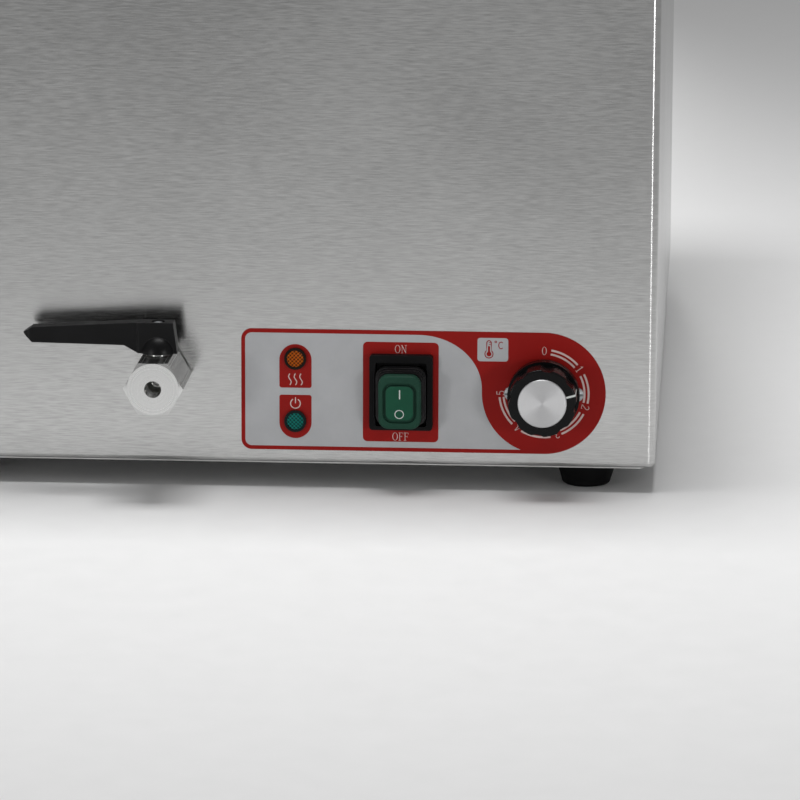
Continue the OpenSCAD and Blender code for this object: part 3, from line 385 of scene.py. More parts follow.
EFFECTS = {
    "grain": ("Brushed grain", brushed_grain),
    "skin": ("Moulded skin", moulded_skin),
    "rings": ("Turned rings", turned_rings),
    # The facets effect paints highlights and shade of the facets into the colour
    "facets": ("Facets and painted glints", cross_facets),
    "edges": ("Worn edges", worn_edges),
}


def placed_effect(tree, kind, values):
    """Outputs of a shared effect in a material; the effect is built when it is first used"""
    name, build = EFFECTS[kind]
    made = node(tree, "ShaderNodeGroup", node_tree=bpy.data.node_groups.get(name) or build())
    for key, value in values.items():
        made.inputs[key].default_value = value
    return made.outputs


def finish(name, base, rough, kind, values, bump=(0.2, 0.0001), worn=None, tangent=None, **plain):
    """Material that varies with one shared effect, with plain values set on its shader

    rough is the range of roughness, bump the strength and depth of the relief, and worn the
    colour and width of rubbed edges.
    """
    material = bpy.data.materials.new(name)
    material.use_nodes = True
    tree = material.node_tree
    shader = tree.nodes["Principled BSDF"]
    for key, value in plain.items():
        shader.inputs[key.replace("_", " ").title().replace("Ior", "IOR")].default_value = value
    given = placed_effect(tree, kind, values)
    tint = node(tree, "ShaderNodeMix", {0: 1.0, 6: (*base, 1), 7: given["Shade"]},
                data_type="RGBA", blend_type="MULTIPLY").outputs[2]
    if worn:
        rubbed, width = worn
        mask = placed_effect(tree, "edges", {"Width": width})["Mask"]
        tint = node(tree, "ShaderNodeMix", {0: mask, 6: tint, 7: (*rubbed, 1)},
                    data_type="RGBA").outputs[2]
    strength, depth = bump
    relief = node(tree, "ShaderNodeBump", {
        "Strength": strength, "Distance": depth, "Height": given["Height"]})
    tree.links.new(tint, shader.inputs["Base Color"])
    tree.links.new(ramp(tree, given["Rough"], 0, 1, *rough), shader.inputs["Roughness"])
    tree.links.new(relief.outputs[0], shader.inputs["Normal"])
    if tangent:
        way = node(tree, "ShaderNodeTangent", direction_type="RADIAL", axis=tangent)
        tree.links.new(way.outputs[0], shader.inputs["Tangent"])
    return material


def brushed(name, base, rough, stretch, contrast, **more):
    return finish(name, base, rough, "grain", {"Stretch": stretch, "Contrast": contrast}, **more)


def moulded(name, base, rough, pebbles, contrast, **more):
    return finish(name, base, rough, "skin", {"Pebbles": pebbles, "Contrast": contrast}, **more)


def turned(name, base, rough, centre, rings, contrast, **more):
    values = {"Centre": centre, "Rings": rings, "Contrast": contrast}
    return finish(name, base, rough, "rings", values, **more)


def dress(material, *names):
    """Give CAD nodes a material"""
    for name in names:
        slots = frame["nodes"][name].data.materials
        slots.clear()
        slots.append(material)


# Mesh helpers

def facing_user(point, tilt=0.0):
    """Frame in millimetres on something that faces the user: x right, y up, z out"""
    lean = math.radians(tilt)
    up = Vector((0, -math.sin(lean), math.cos(lean)))
    out = Vector((0, -math.cos(lean), -math.sin(lean)))
    turn = Matrix((Vector((1, 0, 0)), up, out)).transposed().to_4x4()
    return Matrix.Translation(point) @ turn @ Matrix.Scale(MM, 4)


def on_panel(name):
    """Box of a CAD node as it is seen from the front, in millimetres from the dial's centre"""
    low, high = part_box(name)
    return [value / MM for point in (low, high) for value in (point.x - DIAL.x, point.z - DIAL.z)]


def new_piece(name, bm, place, material, body):
    """Mesh object in the row's frame, riding on a body"""
    bmesh.ops.transform(bm, matrix=place, verts=bm.verts)
    bmesh.ops.recalc_face_normals(bm, faces=bm.faces)
    mesh = bpy.data.meshes.new(name)
    bm.to_mesh(mesh)
    bm.free()
    mesh.materials.append(material)
    piece = bpy.data.objects.new(name, mesh)
    bpy.context.scene.collection.objects.link(piece)
    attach(piece, body)
    return piece


def slab(bm, loops, low, high):
    """Closed flat solid between two heights: the first loop is its outline, the others are holes"""
    raised = {}
    edges = []
    for loop in loops:
        under = [bm.verts.new((x, y, low)) for x, y in loop]
        raised.update((vert, bm.verts.new((*vert.co.xy, high))) for vert in under)
        edges += [bm.edges.new((under[i - 1], under[i])) for i in range(len(under))]
    filled = bmesh.ops.triangle_fill(bm, use_beauty=True, edges=edges)["geom"]
    for item in filled:
        if isinstance(item, bmesh.types.BMFace):
            bm.faces.new([raised[vert] for vert in item.verts])
    for edge in edges:
        start, end = edge.verts
        bm.faces.new((start, end, raised[end], raised[start]))


def arc(x, y, rx, ry, start, end, steps=16):
    """Points on an ellipse, angles in degrees from the x axis"""
    turns = [math.radians(start + (end - start) * i / steps) for i in range(steps + 1)]
    return [(x + rx * math.cos(turn), y + ry * math.sin(turn)) for turn in turns]


def corner(x, y, r, start, end):
    """Points on a small round"""
    return arc(x, y, r, r, start, end, steps=6)


def oval(x, y, rx, ry, steps=32):
    """Points on a whole ellipse"""
    return arc(x, y, rx, ry, 0, 360 - 360 / steps, steps - 1)


def circle(x, y, r, steps=32):
    return oval(x, y, r, r, steps)


def soft_rectangle(x0, y0, x1, y1, r):
    return (corner(x1 - r, y1 - r, r, 0, 90) + corner(x0 + r, y1 - r, r, 90, 180)
            + corner(x0 + r, y0 + r, r, 180, 270) + corner(x1 - r, y0 + r, r, 270, 360))


def stroke(points, width):
    """Outline of a pen stroke along some points"""
    left, right = [], []
    for i, point in enumerate(points):
        before = Vector(points[max(i - 1, 0)])
        after = Vector(points[min(i + 1, len(points) - 1)])
        way = (after - before).normalized()
        side = Vector((-way.y, way.x)) * width / 2
        left.append(tuple(Vector(point) + side))
        right.append(tuple(Vector(point) - side))
    return left + right[::-1]


# Letters: a width and a list of shapes in a box one unit tall; a shape is an outline with its holes

THICK = 0.085
THIN = 0.042
ROUND = THICK * 0.8
HAIR = THIN * 1.4
BAR = THIN * 1.5
BROAD = THIN * 2.8
SERIF = 0.16


def line(width, *points):
    """Shape of one pen stroke"""
    return [stroke(points, width)]


def upright(x):
    """Upright of a letter and its foot"""
    return [line(THICK, (x, 0.0), (x, 1.0)),
            line(THIN, (x - SERIF, THIN / 2), (x + SERIF, THIN / 2))]


def round_letter(rx):
    """Shape of an O, thick at its sides and thin above and below"""
    return [oval(rx, 0.5, rx, 0.5), oval(rx, 0.5, rx - THICK, 0.5 - THIN)]


GLYPHS = {
    "0": (0.56, [round_letter(0.28)]),
    "1": (0.5, [*upright(0.27),
                line(HAIR, (0.08, 0.8), (0.2, 0.86), (0.28, 0.97))]),
    "2": (0.56, [line(ROUND, *arc(0.27, 0.73, 0.21, 0.22, 170, -30), (0.05, 0.05)),
                 line(ROUND, (0.03, 0.05), (0.5, 0.05), (0.53, 0.18))]),
    "3": (0.54, [line(ROUND, *arc(0.25, 0.75, 0.2, 0.2, 160, -80)),
                 line(ROUND, *arc(0.25, 0.29, 0.24, 0.25, 85, -160))]),
    "4": (0.58, [*upright(0.4),
                 line(HAIR, (0.37, 0.98), (0.04, 0.3)),
                 line(BAR, (0.02, 0.28), (0.57, 0.28))]),
    "5": (0.54, [line(THICK, (0.48, 0.94), (0.14, 0.94)),
                 line(HAIR, (0.13, 0.98), (0.1, 0.52)),
                 line(ROUND, *arc(0.24, 0.33, 0.25, 0.29, 120, -150))]),
    "O": (0.66, [round_letter(0.33)]),
    "N": (0.72, [line(THIN, (0.14, 0.0), (0.14, 1.0)),
                 line(THIN, (0.6, 0.0), (0.6, 1.0)),
                 line(THICK, (0.12, 0.98), (0.6, 0.02)),
                 line(THIN, (0.02, 0.025), (0.26, 0.025)),
                 line(THIN, (0.48, 0.975), (0.72, 0.975)),
                 line(THIN, (0.02, 0.975), (0.16, 0.975))]),
    "F": (0.58, [*upright(0.16),
                 line(THIN, (0.02, 0.97), (0.54, 0.97), (0.56, 0.78)),
                 line(THIN, (0.16, 0.52), (0.42, 0.52)),
                 line(THIN, (0.42, 0.62), (0.42, 0.42))]),
    "C": (0.66, [line(BROAD, *arc(0.36, 0.5, 0.31, 0.46, 45, 315, steps=24))]),
}


def lettering(word, x, y, height, turn=0.0, gap=0.08):
    """Shapes of a word about a point, turned clockwise by some degrees"""
    cosine, sine = math.cos(math.radians(turn)), math.sin(math.radians(turn))

    def placed(u, v):
        return x + height * (cosine * u + sine * v), y + height * (cosine * v - sine * u)

    wide = sum(GLYPHS[letter][0] for letter in word) + gap * (len(word) - 1)
    pen = -wide / 2
    shapes = []
    for letter in word:
        width, glyph = GLYPHS[letter]
        for loops in glyph:
            shapes.append([[placed(u + pen, v - 0.5) for u, v in loop] for loop in loops])
        pen += width + gap
    return shapes


def printed(name, shapes, level, material, slot="label_film", body="cabinet", place=None, layer=None):
    """Thin printed piece: level counts the ink layers up to its face

    Shapes that follow one another differ a little in height, so that no two faces share a plane
    where they cross.
    """
    layer = layer or bpy.context.scene.warmer_print.film / MM
    place = place or facing_user((DIAL.x, LABEL_FACE, DIAL.z))
    bm = bmesh.new()
    for i, loops in enumerate(shapes):
        slab(bm, loops, -layer / 2, layer * (level + 0.04 * (i % 5)))
    new_piece(name, bm, place, material, body)


# Pieces

class WARMER_OT_cabinet(bpy.types.Operator):
    """Brushed sheet on the cabinet and its base, rubber on the feet, zinc on the screws"""
    bl_idname = "warmer.cabinet"
    bl_label = "Cabinet"

    def execute(self, context):
        look = context.scene.warmer_colours
        sheet = brushed(
            "brushed_cabinet_sheet", look.steel, (0.17, 0.24), stretch=(150, 150, 2400), contrast=0.14,
            bump=(0.15, 0.00005), tangent="Z", metallic=1.0, anisotropic=0.7, anisotropic_rotation=0.25)
        dress(sheet, "outer_shell", "base_plate")
        rubber = moulded(
            "foot_rubber", look.rubber, (0.55, 0.75), pebbles=1800, contrast=0.2,
            bump=(0.25, 0.0001), worn=(linear(40, 40, 40), 0.0006), specular_ior_level=0.12)
        dress(rubber, "foot_front_left", "foot_front_right", "foot_rear_left", "foot_rear_right")
        zinc = moulded(
            "zinc_screws", look.zinc, (0.46, 0.6), pebbles=3000, contrast=0.12,
            bump=(0.05, 0.0001), metallic=1.0)
        dress(zinc, "base_screws", "foot_screws", "foot_nuts", "lever_screw", "thermostat_screws")
        return {"FINISHED"}


class WARMER_OT_food_side(bpy.types.Operator):
    """Satin sheet on the tank, pans and lids, polish on the handles, tinted tube on the element"""
    bl_idname = "warmer.food_side"
    bl_label = "Tank, pans and lids"

    def execute(self, context):
        look = context.scene.warmer_colours
        places = ("front", "middle", "rear")
        satin = brushed(
            "satin_pressed_sheet", look.pressed, (0.3, 0.4), stretch=(30, 1200, 1200), contrast=0.07,
            bump=(0.02, 0.00002), metallic=1.0)
        dress(satin, "water_tank", *[f"pan_{p}" for p in places], *[f"lid_{p}" for p in places])
        polish = brushed(
            "polished_rod", look.plate, (0.1, 0.2), stretch=(60, 1500, 1500), contrast=0.04,
            bump=(0.05, 0.00003), metallic=1.0)
        dress(polish, *[f"lid_handle_{p}" for p in places])
        sheath = moulded(
            "heat_tinted_sheath", look.sheath, (0.35, 0.55), pebbles=900, contrast=0.3,
            bump=(0.15, 0.0001), metallic=1.0)
        dress(sheath, "heating_element")
        return {"FINISHED"}


class WARMER_OT_label(bpy.types.Operator):
    """Printed film of the control panel: red border, pale field, plates, dial scale and signs"""
    bl_idname = "warmer.label"
    bl_label = "Panel label"

    def execute(self, context):
        look = context.scene.warmer_colours
        size = context.scene.warmer_print
        film = {"pebbles": 3500, "contrast": 0.05, "bump": (0.05, 0.00005)}
        red = moulded("label_red", look.red, (0.42, 0.55), specular_ior_level=0.15, **film)
        pale = moulded("label_field", look.field, (0.4, 0.55), specular_ior_level=0.25, **film)
        mark = moulded("label_marks", look.mark, (0.5, 0.6), specular_ior_level=0.2, **film)
        dress(red, "control_label")
        heat_hole, power_hole = self.lamp_hole("heat"), self.lamp_hole("power")
        opening = soft_rectangle(*on_panel("switch_bezel"), BEZEL_CORNER)
        field = self.field(size.border / MM)
        printed("label_pale_field", [[field, opening, heat_hole, power_hole]], 1, pale)
        switch_plate = soft_rectangle(*SWITCH_PLATE, SWITCH_PLATE_CORNER)
        printed("switch_plate", [[switch_plate, opening]], 2, red)
        printed("heat_plate", [[self.heat_plate(), heat_hole]], 2, red)
        printed("power_plate", [[self.power_plate(), power_hole]], 2, red)
        gauge_plate = soft_rectangle(*GAUGE_PLATE, GAUGE_PLATE_CORNER)
        printed("thermometer_plate", [[gauge_plate]], 1, pale)
        printed("thermometer_sign", self.thermometer(), 2, red)
        printed("dial_scale", self.dial_scale(size), 1, mark)
        word_h = size.word_h / MM
        words = lettering("ON", *ON_PLACE, word_h) + lettering("OFF", *OFF_PLACE, word_h)
        printed("switch_words", words, 3, mark)
        printed("heat_sign", [self.heat_wave(LAMP_X + WAVE_GAP * i) for i in (-1, 0, 1)], 3, mark)
        power_ring = arc(LAMP_X, POWER_RING_Y, POWER_RING_R, POWER_RING_R, *POWER_RING_ENDS, steps=30)
        power_bar = [(LAMP_X, y) for y in POWER_BAR]
        printed("power_sign", [line(SIGN_LINE, *power_ring), line(SIGN_LINE, *power_bar)], 3, mark)
        return {"FINISHED"}

    @staticmethod
    def lamp_hole(kind):
        """Circle that a lamp's rim fills"""
        left, low, right, high = on_panel(f"{kind}_lamp_rim")
        return circle((left + right) / 2, (low + high) / 2, (right - left) / 2)

    @staticmethod
    def field(border):
        """Pale field inside the border, with a curved shoulder down to the red disc round the dial"""
        label_left, label_low, _, label_high = on_panel("control_label")
        left = label_left + border + FIELD_CORNER
        half = (label_high - label_low) / 2
        top = half - border
        disc = half + DISC_MARGIN
        shoulder_x, shoulder_y = FIELD_SHOULDER
        lower_end = math.degrees(math.asin(top / disc))
        return (corner(left, top - FIELD_CORNER, FIELD_CORNER, 180, 90)
                + arc(shoulder_x, shoulder_y, -shoulder_x - disc, top - shoulder_y, 90, 0, steps=24)
                + arc(0, 0, disc, disc, 180, 180 + lower_end, steps=24)
                + corner(left, FIELD_CORNER - top, FIELD_CORNER, 270, 180))

    @staticmethod
    def heat_plate():
        """Plate with a round head"""
        side = LAMP_PLATE_HALF - LAMP_PLATE_CORNER
        foot = HEAT_PLATE_FOOT + LAMP_PLATE_CORNER
        return (arc(LAMP_X, HEAT_PLATE_CENTRE, LAMP_PLATE_HALF, LAMP_PLATE_HALF, 0, 180, steps=24)
                + corner(LAMP_X - side, foot, LAMP_PLATE_CORNER, 180, 270)
                + corner(LAMP_X + side, foot, LAMP_PLATE_CORNER, 270, 360))

    @staticmethod
    def power_plate():
        """Plate with a round foot"""
        side = LAMP_PLATE_HALF - LAMP_PLATE_CORNER
        head = POWER_PLATE_HEAD - LAMP_PLATE_CORNER
        return (corner(LAMP_X + side, head, LAMP_PLATE_CORNER, 0, 90)
                + corner(LAMP_X - side, head, LAMP_PLATE_CORNER, 90, 180)
                + arc(LAMP_X, POWER_PLATE_CENTRE, LAMP_PLATE_HALF, LAMP_PLATE_HALF, 180, 360, steps=24))

    @staticmethod
    def heat_wave(x):
        """Shape of one rising wave"""
        points = []
        for i in range(WAVE_STEPS + 1):
            share = i / WAVE_STEPS
            sway = WAVE_SWAY * math.sin(2 * math.pi * share)
            points.append((x + sway, WAVE_FOOT + WAVE_HEIGHT * share))
        return line(SIGN_LINE, *points)

    @staticmethod
    def thermometer():
        """Shapes of a thermometer with two ticks, a degree sign and a C"""
        def glass(bulb_r, tube_r, neck):
            return (arc(GAUGE_X, GAUGE_BULB_Y, bulb_r, bulb_r, 180 - neck, 360 + neck, steps=28)
                    + arc(GAUGE_X, GAUGE_TOP_Y, tube_r, tube_r, 0, 180, steps=12))

        bulb_r, tube_r = GAUGE_OUTSIDE
        neck = math.degrees(math.acos(tube_r / bulb_r))
        column = (GAUGE_X - COLUMN_HALF, GAUGE_BULB_Y, GAUGE_X + COLUMN_HALF, COLUMN_TOP_Y)
        shapes = [[glass(bulb_r, tube_r, neck), glass(*GAUGE_INSIDE, neck - GAUGE_NECK_TRIM)],
                  [circle(GAUGE_X, GAUGE_BULB_Y, GAUGE_DROP_R)],
                  [soft_rectangle(*column, COLUMN_CORNER)]]
        left, right = [GAUGE_X + end for end in TICK_ENDS]
        for y in TICKS_Y:
            shapes.append([soft_rectangle(left, y, right, y + TICK_H, TICK_CORNER)])
        shapes.append([circle(*DEGREE_PLACE, r) for r in DEGREE_RADII])
        return shapes + lettering("C", *LETTER_PLACE, LETTER_H)

    @staticmethod
    def dial_scale(size):
        """Shapes of the double arcs round the dial and of the numbers between them"""
        shapes = []
        for i in range(DIAL_NUMBERS - 1):
            number = 90 - DIAL_STEP * i
            for radius in (size.arc_inner / MM, size.arc_outer / MM):
                points = arc(0, 0, radius, radius, number - ARC_START, number - ARC_END, steps=24)
                shapes.append(line(size.arc_w / MM, *points))
        radius = size.numeral_r / MM
        for i in range(DIAL_NUMBERS):
            turn = math.radians(DIAL_STEP * i)
            x, y = radius * math.sin(turn), radius * math.cos(turn)
            shapes += lettering(str(i), x, y, size.numeral_h / MM, DIAL_STEP * i)
        return shapes


class WARMER_OT_lamps(bpy.types.Operator):
    """Faceted lenses in tinted rims, with painted highlights and painted shade on the facets"""
    bl_idname = "warmer.lamps"
    bl_label = "Lamps"

    def execute(self, context):
        look = context.scene.warmer_colours
        lamps = (("heat", look.amber, look.amber_rim, "lens_amber"),
                 ("power", look.teal, look.teal_rim, "lens_green"))
        for kind, tint, rim_tint, slot in lamps:
            # The lens colour carries painted highlights and painted shade of its facets, at full contrast
            glass = finish(
                f"{kind}_lens", tint, (0.2, 0.4), "facets", {"Pitch": LENS_PITCH * MM, "Contrast": 1.0},
                bump=(0.4, 0.00025), specular_ior_level=0.12)
            self.lens(kind, glass, slot)
            rim = moulded(
                f"{kind}_lamp_rim", rim_tint, (0.15, 0.3), pebbles=2500, contrast=0.15,
                bump=(0.05, 0.0001), specular_ior_level=0.12)
            dress(rim, f"{kind}_lamp_rim")
        return {"FINISHED"}

    @staticmethod
    def lens(kind, material, slot):
        """Domed disc with crossing grooves, in place of the plain lens"""
        low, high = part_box(f"{kind}_lamp_lens")
        radius = (high.x - low.x) / 2 / MM
        top = (high.y - low.y) / MM
        dome = LENS_DOME_RADII * radius

        def height(x, y):
            slants = [v / LENS_PITCH / math.sqrt(2) for v in (x + y, x - y)]
            groove = 2 * max(abs(slant % 1 - 0.5) for slant in slants)
            return top - dome + math.sqrt(dome ** 2 - x * x - y * y) - LENS_GROOVE * groove ** 2

        bm = bmesh.new()
        rows = [[bm.verts.new((0, 0, height(0, 0)))]]
        for i in range(1, LENS_RINGS + 1):
            points = circle(0, 0, radius * i / LENS_RINGS, LENS_SIDES)
            rows.append([bm.verts.new((x, y, height(x, y))) for x, y in points])
        rows.append([bm.verts.new((x, y, 0)) for x, y in circle(0, 0, radius, LENS_SIDES)])
        for i in range(LENS_SIDES):
            j = (i + 1) % LENS_SIDES
            bm.faces.new((rows[0][0], rows[1][i], rows[1][j]))
            for inner, outer in zip(rows[1:], rows[2:]):
                bm.faces.new((inner[i], outer[i], outer[j], inner[j]))
        bm.faces.new(rows[-1])
        place = facing_user(((low.x + high.x) / 2, high.y, (low.z + high.z) / 2))
        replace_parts(new_piece(f"{kind}_lens", bm, place, material, "cabinet"), f"{kind}_lamp_lens")


class WARMER_OT_switch(bpy.types.Operator):
    """Rocker with its marks, rubber boot and frame"""
    bl_idname = "warmer.switch"
    bl_label = "Switch"

    def execute(self, context):
        look = context.scene.warmer_colours
        cap = {"pebbles": 2200, "contrast": 0.15, "bump": (0.08, 0.0001), "specular_ior_level": 0.12}
        rim = moulded(
            "rocker_rim_green", look.dark_green, (0.5, 0.65), worn=(linear(30, 70, 53), 0.0004), **cap)
        dress(rim, "switch_rocker")
        face = moulded("rocker_green", look.green, (0.3, 0.42), **cap)
        boot = moulded(
            "boot_rubber", look.rubber, (0.34, 0.5), pebbles=2600, contrast=0.2,
            bump=(0.12, 0.0001), worn=(linear(50, 47, 49), 0.0006), specular_ior_level=0.25)
        dress(boot, "switch_boot")
        black = moulded(
            "switch_moulding", look.black, (0.45, 0.6), pebbles=2600, contrast=0.2,
            bump=(0.12, 0.0001), worn=(linear(36, 36, 38), 0.0004), specular_ior_level=0.11)
        dress(black, "switch_bezel", "switch_housing", "heat_lamp_body", "power_lamp_body")
        white = moulded("switch_marks", look.white, (0.4, 0.5), pebbles=2600, contrast=0.04)
        place = facing_user(ROCKER, ROCKER_TILT) @ Matrix.Translation((0, 0, ROCKER_REACH))
        kept = {"slot": "rocker_green", "body": "rocker", "place": place, "layer": ROCKER_LAYER}
        raised = soft_rectangle(*ROCKER_FACE, ROCKER_FACE_CORNER)
        printed("rocker_face", [[raised]], 1, face, **kept)
        on_mark = soft_rectangle(*ON_MARK, ON_MARK_CORNER)
        printed("rocker_on_mark", [[on_mark]], 2, white, **kept)
        off_mark = [circle(*OFF_MARK_PLACE, r) for r in OFF_MARK_RADII]
        printed("rocker_off_mark", [off_mark], 2, white, **kept)
        return {"FINISHED"}


class WARMER_OT_knob(bpy.types.Operator):
    """Gloss knob with its pointer and spun cap"""
    bl_idname = "warmer.knob"
    bl_label = "Knob"

    def execute(self, context):
        look = context.scene.warmer_colours
        black = moulded(
            "knob_black", look.black, (0.2, 0.32), pebbles=1800, contrast=0.25,
            bump=(0.03, 0.0001), specular_ior_level=0.14)
        dress(black, "control_knob")
        cap = turned(
            "spun_cap", look.spun, (0.44, 0.54), centre=DIAL, rings=4500, contrast=0.05,
            bump=(0.1, 0.00003), tangent="Y", metallic=1.0, anisotropic=0.58, anisotropic_rotation=0.25)
        dress(cap, "knob_cap")
        self.pointer(moulded("knob_pointer", look.white, (0.4, 0.5), pebbles=2600, contrast=0.04))
        return {"FINISHED"}

    @staticmethod
    def pointer(material):
        """Thin strip from the cap's edge over the front and down the knob's side"""
        cap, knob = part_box("knob_cap"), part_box("control_knob")
        cap_r = (cap[1].x - cap[0].x) / 2 / MM
        front = (DIAL.y - knob[0].y) / MM
        back = (DIAL.y - knob[1].y) / MM
        nose_r, nose_y = POINTER_FRONT_R - POINTER_NOSE, front - POINTER_NOSE
        path = [(cap_r + POINTER_CAP_GAP, front),
                *corner(nose_r, nose_y, POINTER_NOSE, 90, POINTER_NOSE_END),
                (POINTER_FOOT_R, back + POINTER_FOOT)]
        bm = bmesh.new()
        rows = []
        for i, point in enumerate(path):
            before = Vector(path[max(i - 1, 0)])
            after = Vector(path[min(i + 1, len(path) - 1)])
            way = (after - before).normalized()
            out = Vector((-way.y, way.x)) * POINTER_PROUD
            upper, under = Vector(point) + out, Vector(point) - out
            section = ((upper, 1), (upper, -1), (under, -1), (under, 1))
            rows.append([bm.verts.new((p.x, side * POINTER_HALF, p.y)) for p, side in section])
        for near, far in zip(rows, rows[1:]):
            for k in range(4):
                bm.faces.new((near[k], near[(k + 1) % 4], far[(k + 1) % 4], far[k]))
        bm.faces.new(rows[0])
        bm.faces.new(rows[-1])
        place = facing_user(DIAL) @ Matrix.Rotation(math.radians(90 + DIAL_FIRST), 4, "Z")
        new_piece("knob_pointer", bm, place, material, "knob")


class WARMER_OT_valve(bpy.types.Operator):
    """Plated valve with its moulded lever, seats and drain tube"""
    bl_idname = "warmer.valve"
    bl_label = "Drain valve"

    def execute(self, context):
        look = context.scene.warmer_colours
        plating = turned(
            "turned_plating", look.plate, (0.14, 0.3), centre=VALVE, rings=1500, contrast=0.07,
            bump=(0.12, 0.00005), worn=(linear(235, 235, 234), 0.0005), metallic=1.0)
        dress(plating, "valve_body", "valve_ball", "valve_stem", "drain_nipple", "drain_locknut")
        black = moulded(
            "lever_black", look.black, (0.3, 0.5), pebbles=1600, contrast=0.3,
            bump=(0.15, 0.0001), worn=(linear(56, 56, 57), 0.0007), specular_ior_level=0.16)
        dress(black, "valve_lever")
        white = moulded("seat_white", look.seat, (0.4, 0.55), pebbles=2600, contrast=0.06)
        dress(white, "valve_seats", "drain_washer")
        tube = brushed(
            "drawn_tube", look.pressed, (0.25, 0.4), stretch=(1200, 1200, 40), contrast=0.08,
            bump=(0.08, 0.00005), metallic=1.0)
        dress(tube, "drain_elbow")
        return {"FINISHED"}


class WARMER_OT_inside(bpy.types.Operator):
    """Electrics, seals, wiring and the cable gland"""
    bl_idname = "warmer.inside"
    bl_label = "Electrics and gland"

    def execute(self, context):
        look = context.scene.warmer_colours
        metal = {"pebbles": 1500, "contrast": 0.2, "bump": (0.08, 0.0001), "metallic": 1.0}
        brass = moulded("turned_brass", look.brass, (0.25, 0.4), **metal)
        dress(brass, "element_nuts", "sensor_gland", "thermostat_shaft", "switch_terminals", "earth_stud")
        copper = moulded("bare_copper", look.copper, (0.3, 0.5), **metal)
        dress(copper, "capillary_tube", "sensor_bulb")
        plastic = {"pebbles": 2000, "contrast": 0.12, "bump": (0.15, 0.0001)}
        ivory = moulded("ivory_moulding", look.ivory, (0.45, 0.6), **plastic)
        dress(ivory, "thermostat_body", "terminal_block")
        gland = moulded(
            "gland_moulding", look.gland, (0.4, 0.6), worn=(linear(66, 66, 67), 0.0006), **plastic)
        dress(gland, "cable_gland", "gland_cap", "gland_locknut")
        seal = moulded("silicone_seal", look.seal, (0.5, 0.65), **plastic)
        dress(seal, "element_seals")
        sleeve = moulded("wire_sleeve", look.sleeve, (0.45, 0.6), **plastic)
        dress(sleeve, "wiring_loom")
        return {"FINISHED"}


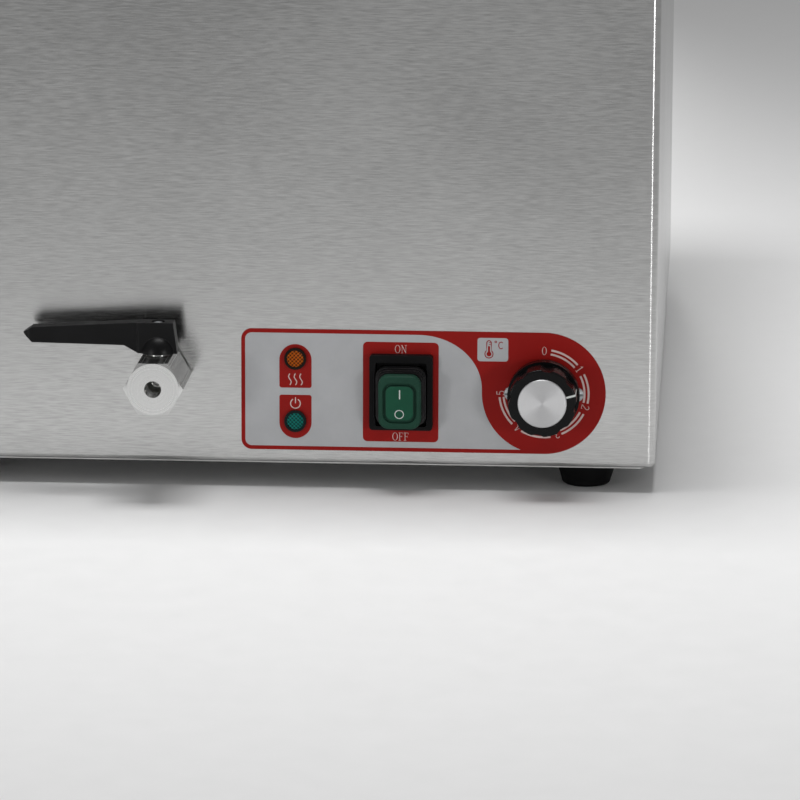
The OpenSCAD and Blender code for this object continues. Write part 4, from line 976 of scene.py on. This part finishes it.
class WARMER_OT_stage(bpy.types.Operator):
    """Pale table, soft lights, white surround and the camera"""
    bl_idname = "warmer.stage"
    bl_label = "Stage"

    def execute(self, context):
        scene = context.scene
        stage = scene.warmer_stage
        scene.view_settings.view_transform = "Standard"
        self.floor(scene)
        self.surround(scene, stage.sky)
        self.softbox(scene, "top_softbox", KEY_PLACE, KEY_TARGET, KEY_SIZE, stage.key, math.pi)
        for name, place in PANEL_PLACES.items():
            target = (0, PANEL_AIM * place[1], PANEL_TARGET_Z)
            self.softbox(scene, f"{name}_panel", place, target, PANEL_SIZE, stage.fill, PANEL_SPREAD)
        self.camera(scene, stage)
        return {"FINISHED"}

    @staticmethod
    def floor(scene):
        bm = bmesh.new()
        bmesh.ops.create_grid(bm, x_segments=TABLE_CELLS, y_segments=TABLE_CELLS, size=TABLE_HALF)
        mesh = bpy.data.meshes.new("table_top")
        bm.to_mesh(mesh)
        bm.free()
        paper = moulded(
            "pale_table", scene.warmer_colours.floor, (0.55, 0.7), pebbles=700, contrast=0.012,
            bump=(0.05, 0.0002), specular_ior_level=0.3)
        mesh.materials.append(paper)
        table = bpy.data.objects.new("table_top", mesh)
        scene.collection.objects.link(table)

    @staticmethod
    def surround(scene, strength):
        world = bpy.data.worlds.new("white_surround")
        world.use_nodes = True
        light = world.node_tree.nodes["Background"].inputs
        light["Color"].default_value = (1, 1, 1, 1)
        light["Strength"].default_value = strength
        scene.world = world

    @staticmethod
    def softbox(scene, name, place, target, size, watts, cone):
        """Square lamp that the camera doesn't see"""
        lamp = bpy.data.lights.new(name, "AREA")
        lamp.shape = "SQUARE"
        lamp.size = size
        lamp.energy = watts
        lamp.spread = cone
        box = bpy.data.objects.new(name, lamp)
        box.location = place
        box.visible_camera = False
        box.rotation_euler = (Vector(target) - Vector(place)).to_track_quat("-Z", "Y").to_euler()
        scene.collection.objects.link(box)

    @staticmethod
    def camera(scene, stage):
        level = Vector((math.cos(stage.yaw), math.sin(stage.yaw), 0))
        ahead = Vector((-math.sin(stage.yaw), math.cos(stage.yaw), 0))
        forward = ahead * math.cos(stage.tilt) - Vector((0, 0, math.sin(stage.tilt)))
        down = forward.cross(level)
        cosine, sine = math.cos(stage.roll), math.sin(stage.roll)
        right = cosine * level + sine * down
        up = sine * level - cosine * down
        axes = Matrix((right, up, -forward)).transposed()
        data = bpy.data.cameras.new("photo_camera")
        data.lens = stage.lens
        data.sensor_width = SENSOR_MM
        data.clip_start, data.clip_end = CLIP
        camera = bpy.data.objects.new("photo_camera", data)
        camera.matrix_world = Matrix.Translation(DIAL + Vector(stage.offset)) @ axes.to_4x4()
        scene.collection.objects.link(camera)
        scene.camera = camera


OPERATORS = (
    WARMER_OT_stage, WARMER_OT_cabinet, WARMER_OT_food_side, WARMER_OT_label, WARMER_OT_lamps,
    WARMER_OT_switch, WARMER_OT_knob, WARMER_OT_valve, WARMER_OT_inside)

GROUPS = {"warmer_colours": WarmerColours, "warmer_print": WarmerPrint, "warmer_stage": WarmerStage}


class WARMER_PT_sidebar(bpy.types.Panel):
    """Steps and settings of the bain marie's looks"""
    bl_idname = "WARMER_PT_sidebar"
    bl_label = "Bain marie"
    bl_space_type = "VIEW_3D"
    bl_region_type = "UI"
    bl_category = "Bain marie"

    def draw(self, context):
        for step in OPERATORS:
            self.layout.operator(step.bl_idname)
        for key in GROUPS:
            settings = getattr(context.scene, key)
            box = self.layout.box()
            for name in settings.__annotations__:
                box.prop(settings, name)


CLASSES = (*GROUPS.values(), *OPERATORS, WARMER_PT_sidebar)


def register():
    for made in CLASSES:
        bpy.utils.register_class(made)
    for key, kind in GROUPS.items():
        setattr(bpy.types.Scene, key, PointerProperty(type=kind))


def unregister():
    for key in GROUPS:
        delattr(bpy.types.Scene, key)
    for made in reversed(CLASSES):
        bpy.utils.unregister_class(made)


def main():
    register()
    bpy.ops.warmer.stage()
    bpy.ops.warmer.cabinet()
    bpy.ops.warmer.food_side()
    bpy.ops.warmer.label()
    bpy.ops.warmer.lamps()
    bpy.ops.warmer.switch()
    bpy.ops.warmer.knob()
    bpy.ops.warmer.valve()
    bpy.ops.warmer.inside()


if __name__ == "__main__":
    main()
